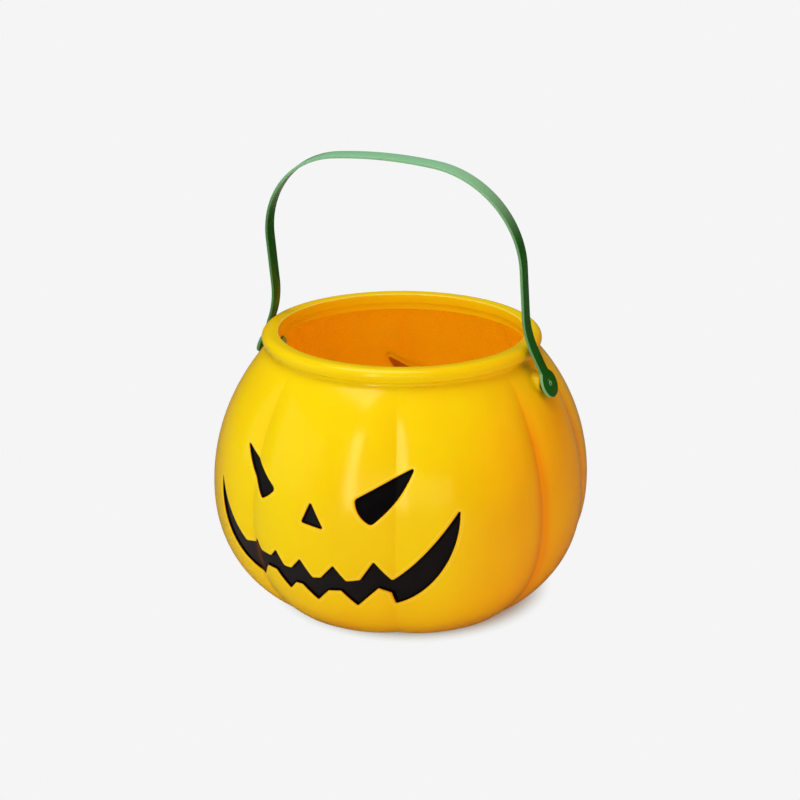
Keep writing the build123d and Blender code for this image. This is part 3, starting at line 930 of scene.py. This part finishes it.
def crossing_places(shell, inset, rows, along, outlines, ring_rows, laid):
    """Return what half_skin keeps of points where its rows cross, from their places on the unrolled skin."""
    heights = np.linspace(rows[0], rows[-1], LEVEL_SAMPLES)
    angle, level = laid[:, 0] / UNROLL_RADIUS, np.interp(laid[:, 1], along(heights), heights)
    across = across_at(shell, angle, level, inset)
    flat = np.stack([across, level], 1) / MM
    signed = np.min([signed_gap(outline, flat) for outline in outlines], 0)
    order = np.array(sorted(ring_rows))
    sunk = np.interp(signed, order[:, 0], order[:, 1]) * MM
    tint = np.interp(signed, order[:, 0], order[:, 2])
    return np.stack([across, level, sunk, angle, tint, 0 * tint], 1)


def half_turn(points):
    """Return points turned half way round the pail's axis."""
    return points * np.array([-1.0, -1.0, 1.0])


def add_object(name, data):
    """Return a new object in the scene."""
    made = bpy.data.objects.new(name, data)
    bpy.context.scene.collection.objects.link(made)
    return made


class MeshMaker:
    """Gathers points, faces and a few values for each point, and joins what touches."""

    def __init__(self):
        self.points, self.faces, self.values = [], [], []

    def add(self, points, faces, **values):
        """Add points and faces, with values that may be single numbers or one for each point."""
        first = len(self.points)
        points = np.asarray(points, float)
        self.points.extend(map(tuple, points))
        self.faces.extend(tuple(first + k for k in face) for face in faces)
        spread = {name: np.broadcast_to(value, len(points)) for name, value in values.items()}
        self.values.extend({name: float(v[k]) for name, v in spread.items()} for k in range(len(points)))

    def rings(self, rows, **values):
        """Join closed rings of equally many points by faces; values may differ by ring or by point."""
        count = len(rows[0])
        faces = []
        for low in range(0, (len(rows) - 1) * count, count):
            for k in range(count):
                after = (k + 1) % count
                faces.append((low + k, low + after, low + count + after, low + count + k))
        spread = {
            name: np.ravel(v) if np.ndim(v) == 2 else np.repeat(np.broadcast_to(v, len(rows)), count)
            for name, v in values.items()}
        self.add(np.concatenate(rows), faces, **spread)

    def cap(self, ring, last=False, **values):
        """Close a first or last ring by one face."""
        face = tuple(range(len(ring)))
        self.add(ring, [face[::-1] if last else face], **values)

    def object(self, name, material, join=2e-6):
        """Return the object, with touching points joined and its faces turned outwards."""
        mesh = bpy.data.meshes.new(name)
        mesh.from_pydata(self.points, [], self.faces)
        for value in sorted({n for v in self.values for n in v}):
            layer = mesh.attributes.new(value, "FLOAT", "POINT")
            layer.data.foreach_set("value", [v.get(value, 0.0) for v in self.values])
        work = bmesh.new()
        work.from_mesh(mesh)
        bmesh.ops.remove_doubles(work, verts=work.verts, dist=join)
        bmesh.ops.dissolve_degenerate(work, dist=join / 4, edges=work.edges)
        bmesh.ops.recalc_face_normals(work, faces=work.faces)
        for face in work.faces:
            face.smooth = True
        closed = all(edge.is_manifold for edge in work.edges)
        work.to_mesh(mesh)
        work.free()
        if not closed:
            raise RuntimeError(f"The mesh of {name} is not closed")
        mesh.materials.append(material)
        return add_object(name, mesh)


def lathe(angles, profile):
    """Return a ring of points for each radius and height of a profile."""
    return [
        np.stack([radius * np.sin(angles), -radius * np.cos(angles), np.full(len(angles), height)], 1)
        for radius, height in profile]


def drawn_in(ring, distance):
    """Return a ring moved towards the pail's axis."""
    share = 1 - distance / np.hypot(ring[:, 0], ring[:, 1])[:, None]
    return ring * np.concatenate([share, share, np.ones_like(share)], 1)


def arc_profile(middle, radius, first, last, count):
    """Return points of an arc as radius and height."""
    turns = np.radians(np.linspace(first, last, count))
    return [(middle[0] + radius * cos(t), middle[1] + radius * sin(t)) for t in turns]


def push_up_profile(steps, bottom):
    """Return the way from a flat up to the raised middle, as radius and height above a bottom."""
    profile = [(PUSH_UP_RADIUS + out * MM, bottom + up * MM) for out, up in steps]
    return profile + [(PUSH_UP_RADIUS * share, bottom + PUSH_UP_HEIGHT) for share in PUSH_UP_SHARES]


def rim_profile(shell):
    """Return the rim from the neck outside, over bead and lip, to the ledge inside, and the lip's first row."""
    top = shell.neck_height + RIM_RISE
    bead = (shell.neck_radius + BEAD_OVERHANG - BEAD_RADIUS, top - BEAD_RADIUS)
    lip = shell.neck_radius - LIP_INSET
    back = lip + THROAT_STEP
    bottom = shell.neck_height - THROAT_LEDGE
    step = top - THROAT_BAND
    neck = shell.neck_radius - NECK_CREVICE
    meet = -degrees(acos((neck - bead[0]) / BEAD_RADIUS))
    profile = [
        (shell.neck_radius - NECK_CREVICE / 2, shell.neck_height + 0.25 * MM), (neck, shell.neck_height + 0.7 * MM)]
    profile += arc_profile(bead, BEAD_RADIUS, meet, 90, BEAD_POINTS)
    for share in RIM_DOME_SHARES:
        profile.append((lip + (bead[0] - lip) * share, top - RIM_DOME * (1 - share) ** 2))
    lip_row = len(profile)
    profile += arc_profile(
        (lip + LIP_ROUNDING, top - RIM_DOME - LIP_ROUNDING), LIP_ROUNDING, 90, 180, LIP_POINTS)
    profile += [(lip, top - THROAT_BAND / 2), (lip, step + 0.35 * MM)]
    profile += [(lip + 0.05 * MM, step + 0.12 * MM), (lip + THROAT_STEP * 0.7, step - 0.05 * MM)]
    profile += [(back, step - 0.3 * MM), (back, bottom + 1.0 * MM)]
    profile += arc_profile(
        (back + THROAT_ROUNDING, bottom + THROAT_ROUNDING), THROAT_ROUNDING, 180, 270, LIP_POINTS)
    return profile, lip_row


class PAIL_OT_shell(bpy.types.Operator):
    """Build the pumpkin body with its rim, throat, sunk faces, base and pivot holes"""

    bl_idname = "pail.shell"
    bl_label = "Pumpkin body"

    def execute(self, context):
        shell = context.scene.pail_shell
        maker = MeshMaker()
        base_top, floor_top = BASE_ROUNDING / 2, shell.wall + FLOOR_ROUNDING / 2
        throat_bottom = shell.neck_height - THROAT_LEDGE
        self.walls(maker, shell, base_top, floor_top, throat_bottom)
        angles = all_angles()
        self.rim(maker, shell, angles, throat_bottom)
        base, floor = self.base_rows(shell, angles, base_top), self.floor_rows(shell, angles, floor_top)
        maker.rings(base)
        maker.rings(floor, inside=1)
        maker.cap(base[-1])
        maker.cap(floor[-1], inside=1)
        body = maker.object("pail_body", pumpkin_finish(shell), BODY_JOIN)
        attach(body, "pail")
        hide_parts("pail_shell")
        return {"FINISHED"}

    @staticmethod
    def walls(maker, shell, base_top, floor_top, throat_bottom):
        """Add the outer and inner skins with both faces, and the sleeves of the pivot holes between them."""
        depth = shell.recess_depth / MM
        edge_rows = [*RIDGE_ROWS]
        # The rounding and the wall carry a negative tint: painted shade down the recess wall, full at its foot
        for turn in np.linspace(0, pi / 2, EDGE_ROWS + 1):
            edge_rows.append((EDGE_ROUNDING * (1 - sin(turn)), EDGE_DROP * (1 - cos(turn)), -sin(turn) ** 3))
        edge_rows.append((-WALL_INSET, depth, -1.0))
        back_rows = [(distance, depth * share, shade) for distance, share, shade in BACK_ROWS]
        hole = STUD_RADIUS + STUD_CLEARANCE
        boss = side_reach(shell, shell.neck_height - PIVOT_DROP, 0.0) + BOSS_RISE
        collar = [(hole + out * MM, share) for out, share in BOSS_ROWS]
        outer, outer_faces, outer_hole, pale = half_skin(
            shell, 0.0, base_top, shell.neck_height, edge_rows, depth, collar, boss)
        inner, inner_faces, inner_hole, shade = half_skin(
            shell, shell.wall, floor_top, throat_bottom, back_rows, depth, [(hole, 0.0)], 0.0)
        # Painted shade along the grooves outside and along their ridges inside
        outer_groove_shade = groove_tint(outer, SKIN_TINT) ** 2 * groove_share(shell, outer[:, 2])
        inner_ridge_shade = groove_tint(inner, INSIDE_TINT) ** 1.5 * INSIDE_TINT_SHARE
        for turned in (lambda points: points, half_turn):
            maker.add(turned(outer), outer_faces, groove=outer_groove_shade, pale=pale)
            maker.add(turned(inner), inner_faces, groove=inner_ridge_shade, inside=1, behind=shade)
            maker.rings([turned(outer[outer_hole]), turned(inner[inner_hole])], inside=0.5)

    @staticmethod
    def rim(maker, shell, angles, throat_bottom):
        """Add the rim and throat, between the neck outside and the ledge inside."""
        profile, lip_row = rim_profile(shell)
        rows = [
            skin_ring(shell, angles, shell.neck_height, 0.0), *lathe(angles, profile),
            skin_ring(shell, angles, throat_bottom, shell.wall)]
        past_lip = np.arange(len(rows)) - 1 - lip_row
        inside = np.clip(past_lip / THROAT_FADE_ROWS, 0, 1) * THROAT_INSIDE
        # Painted highlight line on the lip
        at_lip = (past_lip >= 0) & (past_lip < LIP_HIGHLIGHT_ROWS)
        maker.rings(rows, inside=inside, pale=at_lip * 2.0)

    @staticmethod
    def base_rows(shell, angles, base_top):
        """Return the rings of the base, from the rounded edge in to the raised middle."""
        wall, corner = skin_ring(shell, angles, base_top, 0.0), skin_ring(shell, angles, 0.0, 0.0)
        stand = drawn_in(corner, BASE_ROUNDING)
        foot = lathe(angles, [(PUSH_UP_RADIUS + BASE_FOOT, 0.0)])[0]
        rows = [*curve_between(wall, corner, stand, 6), stand + (foot - stand) * 0.5, foot]
        return rows + lathe(angles, push_up_profile(BASE_STEP, 0.0))

    @staticmethod
    def floor_rows(shell, angles, floor_top):
        """Return the rings of the floor inside, from the wall in to the raised middle."""
        wall = skin_ring(shell, angles, floor_top, shell.wall)
        corner = skin_ring(shell, angles, shell.wall, shell.wall)
        rows = curve_between(wall, corner, drawn_in(corner, FLOOR_ROUNDING), 5)
        return rows + lathe(angles, push_up_profile(FLOOR_STEP, shell.wall))


class PAIL_OT_face_fills(bpy.types.Operator):
    """Build the glossy black fills of both faces"""

    bl_idname = "pail.face_fills"
    bl_label = "Black fills"

    def execute(self, context):
        shell = context.scene.pail_shell
        face = context.scene.pail_face
        material = black_finish(face)
        floor = shell.recess_depth
        for name, outline in face_outlines(OUTLINE_STEP / MM).items():
            top, triangles, edge, flat = self.fill_sheet(shell, outline, floor - face.thickness)
            level = top[:, 2]
            under = on_skin(shell, angle_at_across(shell, top[:, 0], level, floor), level, floor)
            count = len(top)
            faces = triangles + [tuple(count + k for k in t[::-1]) for t in triangles]
            faces += [(b, a, count + a, count + b) for a, b in zip(edge, np.roll(edge, -1))]
            points = np.concatenate([top, under])
            # Painted highlight where a groove crosses the fill
            crease_highlight = groove_tint(points, FILL_TINT)
            crease_highlight *= np.where(points[:, 0] < 0, *MOUTH_CREASE_HIGHLIGHT) if name == "mouth" else 0.0
            # Painted sheen on the flat, strongest on the mouth's left
            sheen = np.tile(flat, 2) * np.interp(points[:, 0], *FILL_SHEEN[name])
            for side, turned in (("front", lambda points: points), ("back", half_turn)):
                maker = MeshMaker()
                maker.add(turned(points), faces, groove=crease_highlight, sheen=sheen)
                fill = maker.object(f"{side}_{name}_fill", material, FILL_JOIN)
                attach(fill, "pail")
                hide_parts(f"{side}_{name}")
        return {"FINISHED"}

    @staticmethod
    def fill_sheet(shell, outline, depth):
        """Return the top of a fill: points, triangles, edge ring, and which points lie flat."""
        rows, climbs, edges = [], [], []
        total = 0
        for distance, climb in FILL_ROWS:
            moved, good = grown(outline, -distance)
            if not rows:
                good[:] = True
            edges.extend(ring_edges(total, good))
            rows.append(moved[good])
            climbs.append(np.full(good.sum(), climb))
            total += int(good.sum())
        edge_row = rows[0]
        (left, bottom), (right, top) = outline.min(0), outline.max(0)
        grid = np.meshgrid(np.arange(left, right, FILL_STEP), np.arange(bottom, top, FILL_STEP))
        grid = np.stack(grid, -1).reshape(-1, 2)
        grid = grid[signed_gap(outline, grid) < -FILL_ROWS[-1][0] - KEEP_OFF]
        flat, triangles, source = triangulated(np.concatenate([*rows, grid]), edges)
        climb = np.concatenate([*climbs, np.zeros(len(grid))])
        climb = np.where(source < 0, CROSSING_CLIMB, climb[source])

        # Triangles outside the edge go; those on edge points alone are inside if they run the same way round
        kept = inside_of(edge_row, np.array([flat[list(t)].mean(0) for t in triangles]))
        for number, triangle in enumerate(triangles):
            a, b, c = source[list(triangle)]
            if 0 <= min(a, b, c) and max(a, b, c) < len(edge_row):
                kept[number] = a < b < c or b < c < a or c < a < b
        triangles = [t for t, inside in zip(triangles, kept) if inside]
        across, level = flat[:, 0] * MM, flat[:, 1] * MM
        sunk = depth - climb * (depth - EDGE_DROP * MM)
        points = on_skin(shell, angle_at_across(shell, across, level, sunk), level, sunk)
        found = {int(given): number for number, given in enumerate(source)}
        return points, triangles, [found[k] for k in range(len(edge_row))], climb < FLAT_CLIMB


class PAIL_OT_handle(bpy.types.Operator):
    """Build the strap handle with its end discs and snap studs"""

    bl_idname = "pail.handle"
    bl_label = "Strap handle"

    def execute(self, context):
        shell = context.scene.pail_shell
        handle = context.scene.pail_handle
        pivot_height = shell.neck_height - PIVOT_DROP
        reach = side_reach(shell, pivot_height, 0.0) + DISC_STANDOFF
        head = side_reach(shell, pivot_height + STUD_HEAD_RADIUS, shell.wall) - STUD_HEAD_GAP
        material = strap_finish(handle)
        strap = self.strap(handle, reach, pivot_height).object("handle_band", material)
        parts = []
        for sign in (1, -1):
            parts.append(self.stud(sign, reach, pivot_height, head).object("stud", material))
            parts.append(self.pip(sign, handle, reach, pivot_height).object("pip", material))
        parts.append(self.gate(handle, pivot_height).object("gate", material))
        for part in parts:
            union = strap.modifiers.new("join", "BOOLEAN")
            union.operation, union.solver, union.object = "UNION", "EXACT", part
        joined = bpy.data.meshes.new_from_object(strap.evaluated_get(context.evaluated_depsgraph_get()))
        if len(joined.polygons) <= len(strap.data.polygons):
            raise RuntimeError("The studs and moulding marks did not join the strap")
        strap.modifiers.clear()
        strap.data = joined
        joined.name = "handle_band"
        for part in parts:
            bpy.data.objects.remove(part)
        joined.set_sharp_from_angle(angle=SHARP_ANGLE)
        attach(strap, "handle")
        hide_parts("handle_strap")
        return {"FINISHED"}

    @staticmethod
    def directions(handle):
        """Return the way up in the handle's plane, and the way across the strap's width."""
        return Vector((0, -sin(handle.lean), cos(handle.lean))), Vector((0, -cos(handle.lean), -sin(handle.lean)))

    @staticmethod
    def path(handle, reach):
        """Return places along one half of the strap, from its foot to its crown.

        Each is across, up in the handle's plane, heading, and distance from the disc's middle.
        """
        half_span = reach - FOOT_LENGTH * sin(FOOT_TILT) - FOOT_BEND_RADIUS * (1 - cos(FOOT_TILT))
        crown = asin((half_span - SHOULDER_RADIUS) / (CROWN_RADIUS - SHOULDER_RADIUS))
        crown_rise = SHOULDER_RADIUS * cos(crown) + CROWN_RADIUS * (1 - cos(crown))
        leg = handle.rise - crown_rise - FOOT_LENGTH * cos(FOOT_TILT) - FOOT_BEND_RADIUS * sin(FOOT_TILT)
        runs = [
            (FOOT_LENGTH, 0.0), (FOOT_BEND_RADIUS * FOOT_TILT, -1 / FOOT_BEND_RADIUS), (leg, 0.0),
            (SHOULDER_RADIUS * (pi / 2 - crown), 1 / SHOULDER_RADIUS), (CROWN_RADIUS * crown, 1 / CROWN_RADIUS)]
        places = [-DISC_RADIUS * cos(turn) for turn in np.radians(DISC_TURNS)]
        places += list(np.arange(0, FOOT_LENGTH - 0.1 * MM, FOOT_STEP))
        found = [(reach - l * sin(FOOT_TILT), l * cos(FOOT_TILT), FOOT_TILT, l) for l in places]
        across, up, heading, done = reach, 0.0, FOOT_TILT, 0.0
        for number, (length, bend) in enumerate(runs):
            count = ceil(length / PATH_STEP)
            travel = length / count
            chord = travel if bend == 0 else 2 / bend * sin(bend * travel / 2)
            for k in range(1, count + 1):
                middle = heading + bend * travel / 2
                across -= chord * sin(middle)
                up += chord * cos(middle)
                heading += bend * travel
                done += travel
                if number or k == count:
                    found.append((across, up, heading, done))
        return found

    @staticmethod
    def section(half_width, half_thickness):
        """Return the outline of the strap with rounded edges: along the width, along the thickness."""
        radius = min(STRAP_EDGE_RADIUS, half_width * 0.9, half_thickness * 0.9)
        points = []
        for corner, (sx, sy) in enumerate(((1, 1), (-1, 1), (-1, -1), (1, -1))):
            for turn in np.linspace(0, pi / 2, 5):
                angle = turn + corner * pi / 2
                points.append((
                    sx * (half_width - radius) + radius * cos(angle),
                    sy * (half_thickness - radius) + radius * sin(angle)))
        return np.array(points)

    def strap(self, handle, reach, pivot_height):
        """Return the mesh of the strap with its two end discs."""
        half = self.path(handle, reach)
        whole = [(*place, 1) for place in half] + [(*place, -1) for place in half[-2::-1]]
        out = np.array([0, -sin(handle.lean), cos(handle.lean)])
        wide = np.array([0, -cos(handle.lean), -sin(handle.lean)])
        origin = np.array([0, 0, pivot_height])
        strap_half = handle.strap_width / 2
        rings, edges = [], []
        for across, up, heading, place, sign in whole:
            round_half = sqrt(max(DISC_RADIUS**2 - place**2, 0))
            mixed = (round_half + strap_half + hypot(round_half - strap_half, DISC_BLEND)) / 2
            share = min(max(place / DISC_EASE, 0), 1)
            half_width = round_half + (mixed - round_half) * share * share * (3 - 2 * share)
            swell = min(max((DISC_SWELL_END - place) / DISC_EASE, 0), 1)
            thickness = handle.strap_thickness + (DISC_THICKNESS - handle.strap_thickness) * swell
            end = DISC_RADIUS + place
            if end < STRAP_EDGE_RADIUS:
                thickness -= 2 * (STRAP_EDGE_RADIUS - sqrt(STRAP_EDGE_RADIUS**2 - (STRAP_EDGE_RADIUS - end)**2))
            normal = np.array([sign * cos(heading), 0, 0]) + out * sin(heading)
            middle = origin + np.array([sign * across, 0, 0]) + out * up
            bar = self.section(half_width, thickness / 2)
            rings.append(middle + bar[:, :1] * wide + bar[:, 1:] * normal)
            # Painted highlight along the edges, strongest on the discs and on the right leg
            paleness = (1.0 if place < DISC_RADIUS else STRAP_PALENESS) * (1.0 if sign > 0 else LEFT_PALENESS)
            thin = (np.abs(bar[:, 0]) > half_width - 0.5 * STRAP_EDGE_RADIUS) | (end < 0.02 * DISC_RADIUS)
            edges.append(thin * paleness)
        maker = MeshMaker()
        maker.rings(rings, pale=np.array(edges))
        maker.cap(rings[0], pale=1)
        maker.cap(rings[-1], last=True, pale=1)
        return maker

    @staticmethod
    def turned(profile, middle, axis, count=32):
        """Return the mesh of a profile of radius and reach turned about an axis, closed at both ends."""
        axis = Vector(axis).normalized()
        first = axis.orthogonal().normalized()
        second = axis.cross(first)
        rows = []
        for radius, along in profile:
            rows.append(np.array([
                Vector(middle) + axis * along + (first * cos(t) + second * sin(t)) * radius
                for t in np.linspace(0, 2 * pi, count, endpoint=False)]))
        maker = MeshMaker()
        maker.rings(rows)
        maker.cap(rows[0])
        maker.cap(rows[-1], last=True)
        return maker

    def stud(self, sign, reach, pivot_height, head):
        """Return the mesh of a stud with its chamfered snap head."""
        edge = [(STUD_HEAD_RADIUS - inset * MM, head - behind * MM) for inset, behind in STUD_HEAD_EDGE]
        profile = [(STUD_RADIUS, head - STUD_HEAD_THICKNESS), *edge, (STUD_RADIUS, head), (STUD_RADIUS, reach)]
        return self.turned(profile, (0, 0, pivot_height), (sign, 0, 0))

    def pip(self, sign, handle, reach, pivot_height):
        """Return the mesh of the small round mark in the middle of a disc."""
        up, _ = self.directions(handle)
        normal = Vector((cos(FOOT_TILT), 0, 0)) + up * sin(FOOT_TILT)
        face = Vector((reach, 0, pivot_height)) + normal * (DISC_THICKNESS / 2)
        profile = [(radius * MM, height * MM) for radius, height in PIP_PROFILE]
        return self.turned(
            profile, (sign * face.x, face.y, face.z), (sign * normal.x, normal.y, normal.z), PIP_POINTS)

    def gate(self, handle, pivot_height):
        """Return the mesh of the small moulding mark on the crown."""
        up, wide = self.directions(handle)
        middle = Vector((0, 0, pivot_height)) + up * (handle.rise + handle.strap_thickness / 2)
        middle -= wide * GATE_SHIFT * MM
        profile = [(radius * MM, height * MM) for radius, height in GATE_PROFILE]
        return self.turned(profile, middle, up, GATE_POINTS)


class PAIL_OT_stage(bpy.types.Operator):
    """Set up the floor, the soft lamps, the pale surroundings and the camera"""

    bl_idname = "pail.stage"
    bl_label = "Stage"

    def execute(self, context):
        scene = context.scene
        stage = scene.pail_stage
        scene.view_settings.view_transform = "Standard"
        scene.cycles.diffuse_bounces = DIFFUSE_BOUNCES
        self.floor(stage)
        self.surroundings(scene, stage)
        for name, *lamp in LAMPS:
            self.lamp(name, getattr(stage, f"{name}_power"), *lamp)
        self.inner_lamp(stage.inner_power)
        self.camera(scene, stage)
        return {"FINISHED"}

    @staticmethod
    def lamp(name, power, colour, size, distance, azimuth, elevation, mirrored):
        """Add a soft lamp that looks at the pail's middle."""
        light = bpy.data.lights.new(name, "AREA")
        light.shape = "RECTANGLE"
        light.size, light.size_y = size
        light.energy = power
        light.color = colour
        lamp = add_object(name, light)
        turn, rise = radians(azimuth), radians(elevation)
        back = Vector((sin(turn) * cos(rise), -cos(turn) * cos(rise), sin(rise)))
        lamp.location = Vector(LAMP_AIM) + back * distance
        lamp.rotation_euler = (pi / 2 - rise, 0, turn)
        lamp.visible_glossy = mirrored

    @staticmethod
    def inner_lamp(power):
        """Add a small lamp in the pail that stands in for the light that comes through its thin wall."""
        light = bpy.data.lights.new("inner", "POINT")
        light.energy = power
        light.color = INNER_LAMP_COLOUR
        light.shadow_soft_size = INNER_LAMP_RADIUS
        lamp = add_object("inner", light)
        lamp.location = INNER_LAMP_PLACE
        lamp.visible_camera = False
        lamp.visible_glossy = False

    @staticmethod
    def floor(stage):
        """Add the pale floor, which keeps a faint shadow."""
        mesh = bpy.data.meshes.new("floor")
        turns = np.linspace(0, 2 * pi, FLOOR_POINTS, endpoint=False)
        ring = [(FLOOR_RADIUS * cos(t), FLOOR_RADIUS * sin(t), -FLOOR_DROP) for t in turns]
        mesh.from_pydata(ring, [], [tuple(range(FLOOR_POINTS))])
        material, finish = new_material("floor_pale")
        seen, mirrored, through = [finish.ray(kind) for kind in ("Camera", "Glossy", "Transmission")]
        matt = finish.node("ShaderNodeBsdfDiffuse", None, {"Color": finish.blend(seen, FLOOR_BOUNCE, FLOOR_SEEN)})
        dimmed = rgba(channel * GLOSS_LEVEL for channel in stage.backdrop)
        glow = finish.node("ShaderNodeEmission", None, {
            "Color": finish.blend(mirrored, rgba(stage.backdrop), dimmed), "Strength": 1.0})
        away = finish.node(
            "ShaderNodeVectorMath", {"operation": "DISTANCE"}, {0: finish.place(), 1: SHADOW_MIDDLE}, "Value")
        share = finish.span(away, *SHADOW_REACH, SHADOW_SHARE, 1.0)
        close_material(finish, finish.node("ShaderNodeMixShader", None, {
            0: (seen + through) * share + mirrored * FLOOR_GLOSS_SHARE, 1: matt, 2: glow}))
        mesh.materials.append(material)
        plate = add_object("floor", mesh)

    @staticmethod
    def surroundings(scene, stage):
        """Make the world pale to the camera, dim to the gloss and an even soft light to the rest."""
        world = bpy.data.worlds.new("surroundings")
        scene.world = world
        world.use_nodes = True
        finish = Finish(world.node_tree)
        seen, mirrored, through = [finish.ray(kind) for kind in ("Camera", "Glossy", "Transmission")]
        ambient = stage.ambient
        level = ambient + (seen + through) * (1.0 - ambient) + mirrored * (GLOSS_LEVEL - ambient)
        back = finish.node("ShaderNodeBackground", None, {"Color": rgba(stage.backdrop), "Strength": level})
        finish.node("ShaderNodeOutputWorld", None, {"Surface": back})

    @staticmethod
    def camera(scene, stage):
        """Add the camera at the photograph's viewing angle."""
        data = bpy.data.cameras.new("camera")
        data.lens = stage.lens
        data.sensor_width = 36.0
        data.clip_start, data.clip_end = 0.05, 100.0
        camera = add_object("camera", data)
        camera.location = CAMERA_PLACE
        camera.rotation_euler = (radians(90 - CAMERA_DIP), 0, radians(CAMERA_TURN))
        scene.camera = camera


class PAIL_PT_panel(bpy.types.Panel):
    """Lists the pail's pieces and their settings"""

    bl_idname = "PAIL_PT_panel"
    bl_label = "Pumpkin pail"
    bl_space_type = "VIEW_3D"
    bl_region_type = "UI"
    bl_category = "Pail"

    def draw(self, context):
        for operator, pointer in STEPS:
            box = self.layout.box()
            box.operator(operator)
            settings = getattr(context.scene, pointer)
            for name in settings.__annotations__:
                box.prop(settings, name)


STEPS = (
    ("pail.shell", "pail_shell"),
    ("pail.face_fills", "pail_face"),
    ("pail.handle", "pail_handle"),
    ("pail.stage", "pail_stage"),
)
GROUPS = {
    "pail_shell": PailShellSettings,
    "pail_face": PailFaceSettings,
    "pail_handle": PailHandleSettings,
    "pail_stage": PailStageSettings,
}
CLASSES = (
    *GROUPS.values(), PAIL_OT_shell, PAIL_OT_face_fills, PAIL_OT_handle, PAIL_OT_stage, PAIL_PT_panel)


def register():
    """Register the classes and hang their settings on the scene."""
    for cls in CLASSES:
        bpy.utils.register_class(cls)
    for name, group in GROUPS.items():
        setattr(bpy.types.Scene, name, PointerProperty(type=group))


def unregister():
    """Take the settings and classes away again."""
    for name in GROUPS:
        delattr(bpy.types.Scene, name)
    for cls in reversed(CLASSES):
        bpy.utils.unregister_class(cls)


def main():
    """Build the pieces in order."""
    register()
    bpy.ops.pail.shell()
    bpy.ops.pail.face_fills()
    bpy.ops.pail.handle()
    bpy.ops.pail.stage()


if __name__ == "__main__":
    main()
